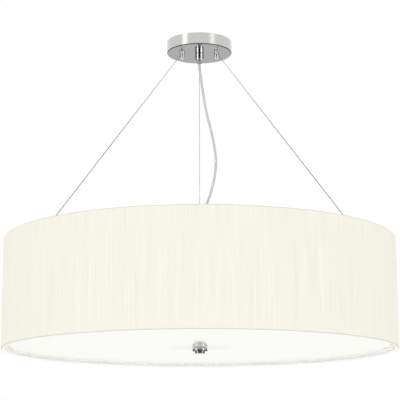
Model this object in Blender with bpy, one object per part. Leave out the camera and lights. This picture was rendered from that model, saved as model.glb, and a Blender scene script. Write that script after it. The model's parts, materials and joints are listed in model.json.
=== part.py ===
"""A drum pendant light: ceiling canopy, three suspension wires, flex and a diffused shade.

Units are metres and +Z is up. The origin is the middle of the ceiling bracket's top face,
which lies against the ceiling, so the whole light hangs below z = 0.
"""

import math

import bmesh
import bpy
from mathutils import Matrix, Vector

# Sizes of the whole light
SHADE_DIAMETER = 0.900
SHADE_HEIGHT = 0.250
HANG_GAP = 0.459
CANOPY_DIAMETER = 0.154
CANOPY_HEIGHT = 0.028
TOUCH = 0.0003
OVERRUN = 0.002
FULL_TURN = 2.0 * math.pi
SHARP_DEGREES = 35.0

# How finely round pieces are cut
DRUM_SEGMENTS = 48
CANOPY_SEGMENTS = 40
BOX_SEGMENTS = 30
ROUND_SEGMENTS = 16
FINE_SEGMENTS = 12
HEX_SIDES = 6

# Ceiling bracket, its studs and the terminals
BRACKET_LENGTH = 0.120
BRACKET_WIDTH = 0.024
BRACKET_THICKNESS = 0.002
SLOT_LENGTH = 0.014
SLOT_WIDTH = 0.0055
SLOT_CENTRE = 0.027
STUD_SPACING = 0.082
STUD_RADIUS = 0.002
STUD_HOLE_RADIUS = 0.0024
STUD_REACH = 0.0085
STUD_COLLAR_WIDTH = 0.007
STUD_COLLAR_HEIGHT = 0.0040
EARTH_SCREW_X = 0.0525
EARTH_SCREW_RADIUS = 0.0017
EARTH_HEAD_RADIUS = 0.0036
EARTH_HEAD_HEIGHT = 0.0026
EARTH_FLANGE_RADIUS = 0.0046
EARTH_FLANGE_THICKNESS = 0.0010
BLOCK_LENGTH = 0.025
BLOCK_WIDTH = 0.016
BLOCK_HEIGHT = 0.013
BLOCK_EDGE = 0.001
POLE_SPACING = 0.012
WELL_RADIUS = 0.0022
WELL_OFFSET = 0.0045
WELL_DEPTH = 0.0060
CORE_DIAMETER = 0.0020
CORE_CIRCLE_RADIUS = 0.0020
CORE_AZIMUTHS = (210.0, 330.0, 90.0)
CORE_STEP = 1.5

# Canopy and what fastens it
CANOPY_WALL = 0.0010
CANOPY_EDGE = 0.0022
CAP_NUT_RADIUS = 0.00575
CAP_NUT_HEIGHT = 0.0125
CAP_NUT_DOME = 0.0030
CAP_NUT_BORE = 0.0024
CAP_NUT_BORE_DEPTH = 0.0095

# Cord grip at the canopy, and the flex
GRIP_RADIUS = 0.0100
GRIP_HEIGHT = 0.0180
GRIP_EDGE = 0.0008
GRIP_NECK_RADIUS = 0.0060
GRIP_NECK_RISE = 0.0060
GRIP_HOLE_RADIUS = 0.0063
GRIP_NUT_WIDTH = 0.0190
GRIP_NUT_THICKNESS = 0.0030
COLLET_RADIUS = 0.0072
COLLET_HEIGHT = 0.0060
COLLET_TIP_RADIUS = 0.0050
CORD_BORE_RADIUS = 0.0036
FLEX_DIAMETER = 0.0063
FLEX_STEP = 3.0

# Wire grips in the canopy, their release nipples, and the suspension wires
WIRE_AZIMUTHS = (90.0, 210.0, 330.0)
WIRE_DIAMETER = 0.0015
WIRE_OUTLET_RADIUS = 0.0484
WIRE_ANCHOR_INSET = 0.0635
WIRE_GRIP_RADIUS = 0.0055
WIRE_GRIP_HEIGHT = 0.0150
WIRE_NECK_RADIUS = 0.0034
WIRE_NECK_HOLE_RADIUS = 0.0037
WIRE_NUT_RADIUS = 0.0056
WIRE_NUT_THICKNESS = 0.0018
RELEASE_STROKE = 0.0015
RELEASE_STEM_RADIUS = 0.0018
RELEASE_BORE_RADIUS = 0.0021
RELEASE_STEM_LENGTH = 0.0080
RELEASE_HEAD_RADIUS = 0.0029
RELEASE_HEAD_HEIGHT = 0.0030
RELEASE_EDGE = 0.0005

# Shade wall and its two wire rings
FABRIC_THICKNESS = 0.0006
LINER_THICKNESS = 0.0009
RING_WIRE_DIAMETER = 0.005
FABRIC_EDGE = 0.0012

# Spider that spans the top ring, and the wire anchors on its arms
ARM_WIDTH = 0.014
ARM_THICKNESS = 0.003
ARM_INNER_RADIUS = 0.0125
HUB_RADIUS = 0.040
HUB_THICKNESS = 0.003
HUB_BORE_RADIUS = 0.0063
ARM_SCREW_PLACE = 0.028
ARM_SCREW_RADIUS = 0.0020
ARM_SCREW_HEAD_RADIUS = 0.0040
ARM_SCREW_HEAD_HEIGHT = 0.0022
SCREW_CLEARANCE = 0.0003
ANCHOR_RADIUS = 0.0058
ANCHOR_HEIGHT = 0.0072
ANCHOR_EDGE = 0.0008
ANCHOR_SLOT_WIDTH = 0.0024
BALL_RADIUS = 0.0030
BALL_HEIGHT = 0.0043

# Cord grip on the hub, stem and wiring box
HUB_GRIP_RADIUS = 0.0082
HUB_GRIP_HEIGHT = 0.0200
HUB_GRIP_TIP_RADIUS = 0.0052
HUB_GRIP_TIP_HEIGHT = 0.0070
HUB_GRIP_NECK_RADIUS = 0.0060
HUB_GRIP_NECK_REACH = 0.0060
STEM_RADIUS = 0.0060
STEM_BORE_RADIUS = 0.0042
STEM_LENGTH = 0.070
STEM_COUPLING_WIDTH = 0.0180
STEM_COUPLING_HEIGHT = 0.0120
STEM_COLLAR_HEIGHT = 0.0040
STEM_END_REACH = 0.0080
STEM_NUT_THICKNESS = 0.0040
BOX_RADIUS = 0.050
BOX_DEPTH = 0.034
BOX_WALL = 0.0012
BOX_EDGE = 0.0030
LID_SKIRT = 0.0060
LID_EDGE = 0.0012

# Lamp arms, lampholders and lamps
LAMP_COUNT = 3
LAMP_FIRST_AZIMUTH = 30.0
LAMP_ARM_RADIUS = 0.0050
LAMP_ARM_BORE_RADIUS = 0.0035
LAMP_ARM_START = 0.0400
LAMP_ARM_LENGTH = 0.0450
HOLDER_NECK_RADIUS = 0.0085
HOLDER_SEAT_DEPTH = 0.0060
HOLDER_SHOULDER_LENGTH = 0.0100
HOLDER_RADIUS = 0.0200
HOLDER_LENGTH = 0.0620
HOLDER_WALL = 0.0045
HOLDER_SOCKET_DEPTH = 0.0310
HOLDER_EDGE = 0.0015
LAMP_CAP_RADIUS = 0.0138
LAMP_CAP_TIP_RADIUS = 0.0060
LAMP_CAP_TIP_LENGTH = 0.0050
LAMP_NECK_RADIUS = 0.0145
LAMP_RADIUS = 0.0300
LAMP_LENGTH = 0.0820

# Diffuser, its rest tabs and its rod
DIFFUSER_EDGE_GAP = 0.0120
DIFFUSER_THICKNESS = 0.003
TAB_COUNT = 7
TAB_FIRST_AZIMUTH = 2.7
TAB_WIDTH = 0.008
TAB_THICKNESS = 0.0030
TAB_WELD_DEPTH = 0.0005
TAB_LAP = 0.0070
ROD_RADIUS = 0.0030
ROD_HEAD_WIDTH = 0.0100
ROD_HEAD_HEIGHT = 0.0040
ROD_NUT_THICKNESS = 0.0045
ROD_CLEARANCE = 0.0004

# Finial that closes the rod under the diffuser
WASHER_RADIUS = 0.0130
WASHER_THICKNESS = 0.0010
FINIAL_RADIUS = 0.0180
FINIAL_VALLEY_RADIUS = 0.0150
FINIAL_LOBES = 6
FINIAL_LOBE_STEPS = 6
FINIAL_LOBED_HEIGHT = 0.0072
FINIAL_EDGE = 0.0010
BOSS_RADIUS = 0.0112
BOSS_HEIGHT = 0.0048
BOSS_EDGE = 0.0009
FINIAL_BORE_DEPTH = 0.0098

# The flex's own route: (how far right of the middle, height), chosen by hand
FLEX_ROUTE = (
    (0.0000, -0.0600),
    (0.0008, -0.0680),
    (0.0026, -0.0820),
    (0.0050, -0.1000),
    (0.0078, -0.1200),
    (0.0115, -0.1450),
    (0.0160, -0.1700),
    (0.0218, -0.1950),
    (0.0278, -0.2200),
    (0.0330, -0.2450),
    (0.0368, -0.2700),
    (0.0384, -0.2920),
    (0.0372, -0.3130),
    (0.0340, -0.3350),
    (0.0290, -0.3560),
    (0.0229, -0.3770),
    (0.0171, -0.3920),
    (0.0115, -0.4070),
    (0.0066, -0.4210),
    (0.0029, -0.4360),
    (0.0008, -0.4520),
    (0.0000, -0.4660),
)

# Heights and radii that follow from the sizes above
CANOPY_RADIUS = CANOPY_DIAMETER / 2
SHADE_RADIUS = SHADE_DIAMETER / 2
WIRE_ANCHOR_RADIUS = SHADE_RADIUS - WIRE_ANCHOR_INSET
FACE_Z = -CANOPY_HEIGHT
SHADE_TOP_Z = FACE_Z - HANG_GAP
SHADE_BOTTOM_Z = SHADE_TOP_Z - SHADE_HEIGHT
RING_WIRE_RADIUS = RING_WIRE_DIAMETER / 2
RING_SEAT = RING_WIRE_RADIUS * math.cos(math.pi / HEX_SIDES)
FABRIC_INNER_RADIUS = SHADE_RADIUS - FABRIC_THICKNESS
LINER_RADIUS = FABRIC_INNER_RADIUS - TOUCH
LINER_INNER_RADIUS = LINER_RADIUS - LINER_THICKNESS
RING_RADIUS = LINER_INNER_RADIUS - TOUCH - RING_WIRE_RADIUS
FLAP_RADIUS = RING_RADIUS - RING_WIRE_RADIUS - TOUCH
FLAP_INNER_RADIUS = FLAP_RADIUS - FABRIC_THICKNESS
DIFFUSER_RADIUS = FLAP_INNER_RADIUS - DIFFUSER_EDGE_GAP
TAB_INNER_RADIUS = DIFFUSER_RADIUS - TAB_LAP
RING_INSET = FABRIC_THICKNESS + TOUCH + RING_SEAT
TOP_RING_Z = SHADE_TOP_Z - RING_INSET
BOTTOM_RING_Z = SHADE_BOTTOM_Z + RING_INSET
ARM_TOP_Z = TOP_RING_Z - RING_SEAT - TOUCH
ARM_BOTTOM_Z = ARM_TOP_Z - ARM_THICKNESS
HUB_TOP_Z = ARM_BOTTOM_Z - TOUCH
HUB_BOTTOM_Z = HUB_TOP_Z - HUB_THICKNESS
HUB_GRIP_TOP_Z = HUB_TOP_Z + TOUCH + HUB_GRIP_HEIGHT
STEM_TOP_Z = HUB_BOTTOM_Z - TOUCH
LID_TOP_Z = STEM_TOP_Z - STEM_LENGTH - TOUCH
BOX_TOP_Z = LID_TOP_Z - BOX_WALL - TOUCH
BOX_BOTTOM_Z = BOX_TOP_Z - BOX_DEPTH
LAMP_Z = (BOX_TOP_Z - LID_SKIRT + BOX_BOTTOM_Z) / 2
TAB_BOTTOM_Z = BOTTOM_RING_Z + RING_SEAT - TAB_WELD_DEPTH
DIFFUSER_BOTTOM_Z = TAB_BOTTOM_Z + TAB_THICKNESS + TOUCH
DIFFUSER_TOP_Z = DIFFUSER_BOTTOM_Z + DIFFUSER_THICKNESS
WASHER_TOP_Z = DIFFUSER_BOTTOM_Z - TOUCH
FINIAL_TOP_Z = WASHER_TOP_Z - WASHER_THICKNESS - TOUCH
FINIAL_BOTTOM_Z = FINIAL_TOP_Z - FINIAL_LOBED_HEIGHT - BOSS_HEIGHT
ROD_BOTTOM_Z = FINIAL_TOP_Z - FINIAL_BORE_DEPTH + ROD_CLEARANCE
ROD_SEAT_Z = BOX_BOTTOM_Z + BOX_WALL + TOUCH
COLLET_TOP_Z = FACE_Z - GRIP_HEIGHT - 2 * TOUCH
COLLET_BOTTOM_Z = COLLET_TOP_Z - COLLET_HEIGHT
RELEASE_TOP_Z = FACE_Z - WIRE_NUT_THICKNESS - 2 * TOUCH - RELEASE_STROKE
RELEASE_BOTTOM_Z = RELEASE_TOP_Z - RELEASE_HEAD_HEIGHT
BALL_Z = ARM_TOP_Z + TOUCH + BALL_HEIGHT
WIRE_DROP = RELEASE_BOTTOM_Z - BALL_Z
WIRE_SPREAD = WIRE_ANCHOR_RADIUS - WIRE_OUTLET_RADIUS
WIRE_ANGLE = math.atan2(WIRE_SPREAD, WIRE_DROP)


def clear_scene():
    """Remove whatever the scene holds."""
    for thing in list(bpy.data.objects):
        bpy.data.objects.remove(thing, do_unlink=True)


def material(name, colour, roughness, metallic=0.0):
    """A Principled material of one colour."""
    made = bpy.data.materials.new(name)
    made.use_nodes = True
    shader = made.node_tree.nodes["Principled BSDF"]
    shader.inputs["Base Color"].default_value = (*colour, 1.0)
    shader.inputs["Roughness"].default_value = roughness
    shader.inputs["Metallic"].default_value = metallic
    return made


def add_object(name, mesh, finish):
    """Put a mesh into the scene as a named object with its material."""
    mesh.shade_smooth()
    mesh.set_sharp_from_angle(angle=math.radians(SHARP_DEGREES))
    thing = bpy.data.objects.new(name, mesh)
    thing.data.materials.append(finish)
    bpy.context.scene.collection.objects.link(thing)
    return thing


def mesh_from(name, form):
    """Write a bmesh into a mesh with its faces pointing out."""
    bmesh.ops.recalc_face_normals(form, faces=form.faces)
    mesh = bpy.data.meshes.new(name)
    form.to_mesh(mesh)
    form.free()
    return mesh


def spin_profile(form, profile, segments, closed):
    """Turn a profile of (radius, height) points about Z into the bmesh."""
    points = [form.verts.new((radius, 0.0, height)) for radius, height in profile]
    edges = [form.edges.new(pair) for pair in zip(points, points[1:])]
    if closed:
        edges.append(form.edges.new((points[-1], points[0])))
    bmesh.ops.spin(form, geom=points + edges, cent=(0, 0, 0), axis=(0, 0, 1),
                   angle=FULL_TURN, steps=segments, use_merge=True)
    axis_points = [point for point in form.verts if point.co.xy.length < TOUCH / 10]
    if axis_points:
        bmesh.ops.remove_doubles(form, verts=axis_points, dist=TOUCH / 10)


def turned_mesh(name, profile, segments=ROUND_SEGMENTS, closed=False):
    """A turned solid. A profile that isn't closed starts and ends on the axis."""
    form = bmesh.new()
    spin_profile(form, profile, segments, closed)
    return mesh_from(name, form)


def turned(name, finish, profile, segments=ROUND_SEGMENTS, closed=False, place=None):
    """A turned solid as an object, moved to its place where one is given."""
    thing = add_object(name, turned_mesh(name, profile, segments, closed), finish)
    if place is not None:
        thing.location = place
    return thing


def hex_nut(name, finish, bore, width, bottom, top):
    """A hexagonal nut on the light's axis, with a plain bore."""
    form = bmesh.new()
    add_plate(form, hexagon(width), bottom, top)
    nut = add_object(name, mesh_from(name, form), finish)
    cut_hole(nut, name + "_bore", bore, 0.0, 0.0, bottom, top)


def join(thing, addition):
    """Weld a hidden object onto another with an exact Boolean that stays on it."""
    change = cut(thing, addition)
    change.operation = "UNION"


def solid_pin(radius, bottom, top, edge=0.0):
    """Profile of a plain pin, its rims eased by the given edge."""
    if not edge:
        return [(0.0, bottom), (radius, bottom), (radius, top), (0.0, top)]
    return [(0.0, bottom), (radius - edge, bottom), (radius, bottom + edge),
            (radius, top - edge), (radius - edge, top), (0.0, top)]


def tube_wall(inner, outer, bottom, top):
    """Profile of a plain tube."""
    return [(inner, bottom), (outer, bottom), (outer, top), (inner, top)]


def add_plate(form, outline, bottom, top):
    """Extrude an outline of (x, y) points into the bmesh from bottom to top."""
    face = form.faces.new([form.verts.new((x, y, bottom)) for x, y in outline])
    raised = bmesh.ops.extrude_face_region(form, geom=[face])
    moved = [item for item in raised["geom"] if isinstance(item, bmesh.types.BMVert)]
    bmesh.ops.translate(form, verts=moved, vec=(0, 0, top - bottom))


def rectangle(low_x, high_x, low_y, high_y):
    """Outline of a rectangle."""
    return [(low_x, low_y), (high_x, low_y), (high_x, high_y), (low_x, high_y)]


def arc(centre_x, centre_y, radius, start, end, steps):
    """Points of an arc between two angles in radians."""
    turns = [start + (end - start) * step / steps for step in range(steps + 1)]
    return [(centre_x + radius * math.cos(turn), centre_y + radius * math.sin(turn))
            for turn in turns]


def long_hole(centre_x, length, width):
    """Outline of a slot with round ends along X."""
    radius = width / 2
    reach = length / 2 - radius
    right = arc(centre_x + reach, 0.0, radius, -math.pi / 2, math.pi / 2, FINE_SEGMENTS // 2)
    left = arc(centre_x - reach, 0.0, radius, math.pi / 2, math.pi * 3 / 2, FINE_SEGMENTS // 2)
    return right + left


def hexagon(width):
    """Outline of a hexagon by its width across the flats."""
    corner = width / 2 / math.cos(math.pi / HEX_SIDES)
    return arc(0.0, 0.0, corner, 0.0, FULL_TURN, HEX_SIDES)[:-1]


def cut(thing, cutter):
    """Cut one object out of another with an exact Boolean that stays on it."""
    cutter.hide_render = True
    cutter.display_type = "WIRE"
    change = thing.modifiers.new("cut_" + cutter.name, "BOOLEAN")
    change.operation = "DIFFERENCE"
    change.solver = "EXACT"
    change.object = cutter
    return change


def half_facet(segments):
    """Half the angle of one facet, by which a cutter is turned against a turned solid."""
    return math.pi / segments


def cut_hole(thing, name, radius, x, y, bottom, top, segments=FINE_SEGMENTS):
    """Cut an upright round hole that runs past both faces, its corners off the solid's own edges."""
    profile = solid_pin(radius, bottom - OVERRUN, top + OVERRUN)
    cutter = turned(name, thing.data.materials[0], profile, segments)
    cutter.location = (x, y, 0.0)
    cutter.rotation_euler.z = half_facet(segments)
    cut(thing, cutter)


def polar(radius, azimuth, height=0.0):
    """A point by its radius and its azimuth in degrees."""
    turn = math.radians(azimuth)
    return Vector((radius * math.cos(turn), radius * math.sin(turn), height))


def lying_outward(azimuth, height):
    """Placement that lays a solid's own +Z along the outward direction at an azimuth."""
    turn = Matrix.Rotation(math.radians(azimuth), 4, "Z")
    return Matrix.Translation((0, 0, height)) @ turn @ Matrix.Rotation(math.pi / 2, 4, "Y")


def smooth_path(points, step):
    """Points at an even step along a smooth curve through the given points."""
    ends = [points[0] * 2 - points[1]] + points + [points[-1] * 2 - points[-2]]
    fine = []
    for before, start, end, after in zip(ends, ends[1:], ends[2:], ends[3:]):
        for part in range(FINE_SEGMENTS):
            share = part / FINE_SEGMENTS
            pull = (end - before) * share + (before * 2 - start * 5 + end * 4 - after) * share ** 2
            bend = (start * 3 - before - end * 3 + after) * share ** 3
            fine.append((start * 2 + pull + bend) / 2)
    fine.append(points[-1])
    reach = [0.0]
    for first, second in zip(fine, fine[1:]):
        reach.append(reach[-1] + (second - first).length)
    count = max(2, round(reach[-1] / step))
    path = []
    place = 0
    for number in range(count + 1):
        wanted = reach[-1] * number / count
        while place < len(fine) - 2 and reach[place + 1] < wanted:
            place += 1
        share = (wanted - reach[place]) / (reach[place + 1] - reach[place])
        path.append(fine[place].lerp(fine[place + 1], share))
    return path, reach[-1]


def cord(name, finish, path, diameter, resolution):
    """A round cord along its points, with closed ends."""
    curve = bpy.data.curves.new(name, "CURVE")
    curve.dimensions = "3D"
    curve.bevel_depth = diameter / 2
    curve.bevel_resolution = resolution
    curve.use_fill_caps = True
    spline = curve.splines.new("POLY")
    spline.points.add(len(path) - 1)
    for point, place in zip(spline.points, path):
        point.co = (*place, 1.0)
    thing = bpy.data.objects.new(name, curve)
    thing.data.materials.append(finish)
    bpy.context.scene.collection.objects.link(thing)
    return thing


def make_bracket(steel):
    """Strap that is screwed to the ceiling, with two screw slots and two stud holes."""
    form = bmesh.new()
    half_length = BRACKET_LENGTH / 2
    half_width = BRACKET_WIDTH / 2
    corner = half_width / 2
    outline = []
    quarter = math.pi / 2
    for number, (side_x, side_y) in enumerate(((1, 1), (-1, 1), (-1, -1), (1, -1))):
        outline += arc(side_x * (half_length - corner), side_y * (half_width - corner), corner,
                       number * quarter, (number + 1) * quarter, HEX_SIDES // 2)
    add_plate(form, outline, -BRACKET_THICKNESS, 0.0)
    bracket = add_object("ceiling_bracket", mesh_from("ceiling_bracket", form), steel)
    for side, word in ((-1, "left"), (1, "right")):
        slot = bmesh.new()
        add_plate(slot, long_hole(side * SLOT_CENTRE, SLOT_LENGTH, SLOT_WIDTH),
                  -BRACKET_THICKNESS - OVERRUN, OVERRUN)
        slot_name = "slot_cutter_" + word
        cut(bracket, add_object(slot_name, mesh_from(slot_name, slot), steel))
        cut_hole(bracket, "stud_hole_cutter_" + word, STUD_HOLE_RADIUS,
                 side * STUD_SPACING / 2, 0.0, -BRACKET_THICKNESS, 0.0)
    cut_hole(bracket, "earth_hole_cutter", EARTH_SCREW_RADIUS + TOUCH,
             EARTH_SCREW_X, 0.0, -BRACKET_THICKNESS, 0.0)


def make_studs(steel):
    """Two studs that hang from the bracket, each with a hexagonal collar under it."""
    collar_top = -BRACKET_THICKNESS - TOUCH
    stud = solid_pin(STUD_RADIUS, FACE_Z - STUD_REACH, -TOUCH)
    for side, word in ((-1, "left"), (1, "right")):
        place = Vector((side * STUD_SPACING / 2, 0, 0))
        rod = turned("canopy_stud_" + word, steel, stud, FINE_SEGMENTS, place=place)
        form = bmesh.new()
        add_plate(form, hexagon(STUD_COLLAR_WIDTH), collar_top - STUD_COLLAR_HEIGHT, collar_top)
        name = "stud_collar_" + word
        collar = add_object(name, mesh_from(name, form), steel)
        collar.location = place
        join(rod, collar)


def make_terminals(plastic, brass, sheath):
    """Two pole terminal block under the bracket, the earth screw, and the flex's cores."""
    top = -BRACKET_THICKNESS - TOUCH
    bottom = top - BLOCK_HEIGHT
    form = bmesh.new()
    half = BLOCK_LENGTH / 2
    add_plate(form, rectangle(-half, half, -BLOCK_WIDTH / 2, BLOCK_WIDTH / 2), bottom, top)
    block = add_object("terminal_block", mesh_from("terminal_block", form), plastic)
    easing = block.modifiers.new("eased_edges", "BEVEL")
    easing.width = BLOCK_EDGE
    easing.segments = 1
    for pole in (-1, 1):
        for row in (-1, 1):
            name = f"screw_well_cutter_{pole + 1}_{row + 1}"
            well = solid_pin(WELL_RADIUS, bottom - OVERRUN, bottom + WELL_DEPTH)
            place = Vector((pole * POLE_SPACING / 2, row * WELL_OFFSET, 0))
            cut(block, turned(name, plastic, well, FINE_SEGMENTS, place=place))
    flange_bottom = top - EARTH_FLANGE_THICKNESS
    head_bottom = flange_bottom - EARTH_HEAD_HEIGHT
    earth = [
        (0.0, head_bottom),
        (EARTH_HEAD_RADIUS, head_bottom),
        (EARTH_HEAD_RADIUS, flange_bottom),
        (EARTH_FLANGE_RADIUS, flange_bottom),
        (EARTH_FLANGE_RADIUS, top),
        (EARTH_SCREW_RADIUS, top),
        (EARTH_SCREW_RADIUS, -TOUCH),
        (0.0, -TOUCH),
    ]
    turned("earth_screw", brass, earth, FINE_SEGMENTS, place=Vector((EARTH_SCREW_X, 0, 0)))
    make_cores(sheath, top - BLOCK_HEIGHT / 2, (flange_bottom + head_bottom) / 2)


def make_cores(finish, block_z, screw_z):
    """The flex's three cores, from the cord grip to the block and to the earth screw."""
    start_z = FACE_Z + CANOPY_WALL + GRIP_NECK_RISE + TOUCH
    lift = CORE_DIAMETER
    front = -BLOCK_WIDTH / 2 - TOUCH
    neutral_azimuth, line_azimuth, earth_azimuth = CORE_AZIMUTHS
    for name, pole, azimuth in (("neutral_core", -1, neutral_azimuth), ("line_core", 1, line_azimuth)):
        begin = polar(CORE_CIRCLE_RADIUS, azimuth, start_z)
        goal = pole * POLE_SPACING / 2
        knots = [
            begin,
            begin + Vector((0, 0, lift / 2)),
            Vector((goal / 2, front / 2, start_z + lift * 3 / 2)),
            Vector((goal, front - lift * 2, (start_z + block_z) / 2 - lift)),
            Vector((goal, front - lift * 3, block_z - lift)),
            Vector((goal, front - lift * 2, block_z)),
            Vector((goal, front, block_z)),
        ]
        path = smooth_path(knots, CORE_DIAMETER * CORE_STEP)[0]
        cord(name, finish, path, CORE_DIAMETER, 2)
    begin = polar(CORE_CIRCLE_RADIUS, earth_azimuth, start_z)
    side = EARTH_HEAD_RADIUS + TOUCH
    turn_y = BRACKET_WIDTH / 2 - CORE_DIAMETER
    knots = [
        begin,
        begin + Vector((0, 0, lift / 2)),
        Vector((BLOCK_LENGTH / 3, turn_y, start_z + lift * 3 / 2)),
        Vector((STUD_SPACING / 3, turn_y, (start_z + screw_z) / 2)),
        Vector((STUD_SPACING / 2, turn_y, screw_z - lift)),
        Vector((EARTH_SCREW_X - lift, turn_y, screw_z)),
        Vector((EARTH_SCREW_X, side + lift * 2, screw_z)),
        Vector((EARTH_SCREW_X, side, screw_z)),
    ]
    cord("earth_core", finish, smooth_path(knots, CORE_DIAMETER * CORE_STEP)[0], CORE_DIAMETER, 2)


def make_canopy(chrome):
    """Spun cup with a flat face and a tight corner, drilled for everything that passes."""
    inside = CANOPY_RADIUS - CANOPY_WALL
    floor = FACE_Z + CANOPY_WALL
    half_edge_share = 1 - math.cos(math.pi / 4)
    edge_step = CANOPY_EDGE * half_edge_share
    profile = [
        (GRIP_HOLE_RADIUS, FACE_Z),
        (CANOPY_RADIUS - CANOPY_EDGE, FACE_Z),
        (CANOPY_RADIUS - edge_step, FACE_Z + edge_step),
        (CANOPY_RADIUS, FACE_Z + CANOPY_EDGE),
        (CANOPY_RADIUS, 0.0),
        (inside, 0.0),
        (inside, floor + CANOPY_EDGE),
        (inside - CANOPY_EDGE, floor),
        (GRIP_HOLE_RADIUS, floor),
    ]
    canopy = turned("ceiling_canopy", chrome, profile, CANOPY_SEGMENTS, closed=True)
    for side, word in ((-1, "left"), (1, "right")):
        cut_hole(canopy, "canopy_stud_cutter_" + word, STUD_HOLE_RADIUS,
                 side * STUD_SPACING / 2, 0.0, FACE_Z, floor)
    for number, azimuth in enumerate(WIRE_AZIMUTHS, 1):
        place = polar(WIRE_OUTLET_RADIUS, azimuth)
        cut_hole(canopy, f"wire_hole_cutter_{number}", WIRE_NECK_HOLE_RADIUS,
                 place.x, place.y, FACE_Z, floor)


def make_cap_nuts(chrome):
    """Two long domed nuts that hold the canopy up on its studs."""
    top = FACE_Z - TOUCH
    bottom = top - CAP_NUT_HEIGHT
    bore_top = top - CAP_NUT_BORE_DEPTH
    shoulder = CAP_NUT_RADIUS - CAP_NUT_DOME / 4
    profile = [
        (0.0, bottom),
        (CAP_NUT_RADIUS - CAP_NUT_DOME, bottom),
        (shoulder, bottom + CAP_NUT_DOME / 3),
        (CAP_NUT_RADIUS, bottom + CAP_NUT_DOME),
        (CAP_NUT_RADIUS, top),
        (CAP_NUT_BORE, top),
        (CAP_NUT_BORE, bore_top),
        (0.0, bore_top),
    ]
    for side, word in ((-1, "left"), (1, "right")):
        place = Vector((side * STUD_SPACING / 2, 0, 0))
        turned("cap_nut_" + word, chrome, profile, ROUND_SEGMENTS, place=place)


def make_canopy_grip(chrome, steel):
    """Cord grip below the canopy: body with its neck, collet below, locknut above."""
    top = FACE_Z - TOUCH
    bottom = top - GRIP_HEIGHT
    neck_top = FACE_Z + CANOPY_WALL + GRIP_NECK_RISE
    body = [
        (CORD_BORE_RADIUS, bottom),
        (GRIP_RADIUS - GRIP_EDGE, bottom),
        (GRIP_RADIUS, bottom + GRIP_EDGE),
        (GRIP_RADIUS, top),
        (GRIP_NECK_RADIUS, top),
        (GRIP_NECK_RADIUS, neck_top),
        (CORD_BORE_RADIUS, neck_top),
    ]
    turned("cord_grip_body", chrome, body, ROUND_SEGMENTS, closed=True)
    waist = COLLET_TOP_Z - COLLET_HEIGHT / 2
    collet = [
        (CORD_BORE_RADIUS, COLLET_BOTTOM_Z),
        (COLLET_TIP_RADIUS, COLLET_BOTTOM_Z),
        (COLLET_RADIUS, waist),
        (COLLET_RADIUS, COLLET_TOP_Z),
        (CORD_BORE_RADIUS, COLLET_TOP_Z),
    ]
    turned("cord_grip_collet", chrome, collet, ROUND_SEGMENTS, closed=True)
    nut_bottom = FACE_Z + CANOPY_WALL + TOUCH
    hex_nut("cord_grip_locknut", steel, GRIP_HOLE_RADIUS, GRIP_NUT_WIDTH,
            nut_bottom, nut_bottom + GRIP_NUT_THICKNESS)


def make_flex(finish):
    """The flex from the collet down to the hub's grip, slack to one side as it hangs."""
    start = Vector((0.0, 0.0, COLLET_BOTTOM_Z - TOUCH))
    end = Vector((0.0, 0.0, HUB_GRIP_TOP_Z + TOUCH))
    knots = [start] + [Vector((x, 0.0, z)) for x, z in FLEX_ROUTE] + [end]
    path, length = smooth_path(knots, FLEX_DIAMETER * FLEX_STEP)
    cord("flex_cord", finish, path, FLEX_DIAMETER, 2)
    print("flex length in metres", round(length, 4))


def make_wire_grips(chrome, steel):
    """Three grips in the canopy, a round nut under each, and its sprung release nipple."""
    body_bottom = FACE_Z + CANOPY_WALL + TOUCH
    body_top = body_bottom + WIRE_GRIP_HEIGHT
    neck_bottom = FACE_Z - WIRE_NUT_THICKNESS - TOUCH
    stem_top = RELEASE_TOP_Z + RELEASE_STEM_LENGTH
    bore_top = stem_top + RELEASE_STROKE + TOUCH
    grip = [
        (0.0, bore_top),
        (RELEASE_BORE_RADIUS, bore_top),
        (RELEASE_BORE_RADIUS, neck_bottom),
        (WIRE_NECK_RADIUS, neck_bottom),
        (WIRE_NECK_RADIUS, body_bottom),
        (WIRE_GRIP_RADIUS, body_bottom),
        (WIRE_GRIP_RADIUS, body_top),
        (0.0, body_top),
    ]
    nut_top = FACE_Z - TOUCH
    nut = tube_wall(WIRE_NECK_HOLE_RADIUS, WIRE_NUT_RADIUS, nut_top - WIRE_NUT_THICKNESS, nut_top)
    nipple = [
        (0.0, RELEASE_BOTTOM_Z),
        (RELEASE_HEAD_RADIUS - RELEASE_EDGE, RELEASE_BOTTOM_Z),
        (RELEASE_HEAD_RADIUS, RELEASE_BOTTOM_Z + RELEASE_EDGE),
        (RELEASE_HEAD_RADIUS, RELEASE_TOP_Z),
        (RELEASE_STEM_RADIUS, RELEASE_TOP_Z),
        (RELEASE_STEM_RADIUS, stem_top),
        (0.0, stem_top),
    ]
    for number, azimuth in enumerate(WIRE_AZIMUTHS, 1):
        place = polar(WIRE_OUTLET_RADIUS, azimuth)
        turned(f"wire_grip_{number}", steel, grip, FINE_SEGMENTS, place=place)
        turned(f"wire_grip_nut_{number}", chrome, nut, FINE_SEGMENTS, closed=True, place=place)
        turned(f"wire_release_{number}", chrome, nipple, FINE_SEGMENTS, place=place)


def make_wires(finish):
    """Three straight steel wires from the release nipples to the ball ends on the arms."""
    end_lift = (BALL_RADIUS + TOUCH) / WIRE_DROP * math.cos(WIRE_ANGLE)
    start_drop = WIRE_DIAMETER / 2 * math.sin(WIRE_ANGLE) + TOUCH
    for number, azimuth in enumerate(WIRE_AZIMUTHS, 1):
        mouth = polar(WIRE_OUTLET_RADIUS, azimuth, RELEASE_BOTTOM_Z)
        ball = polar(WIRE_ANCHOR_RADIUS, azimuth, BALL_Z)
        start = mouth.lerp(ball, start_drop / WIRE_DROP)
        end = ball.lerp(mouth, end_lift)
        cord(f"suspension_wire_{number}", finish, [start, end], WIRE_DIAMETER, 2)
        if number == 1:
            print("wire length in metres", round((end - start).length, 4))


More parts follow.
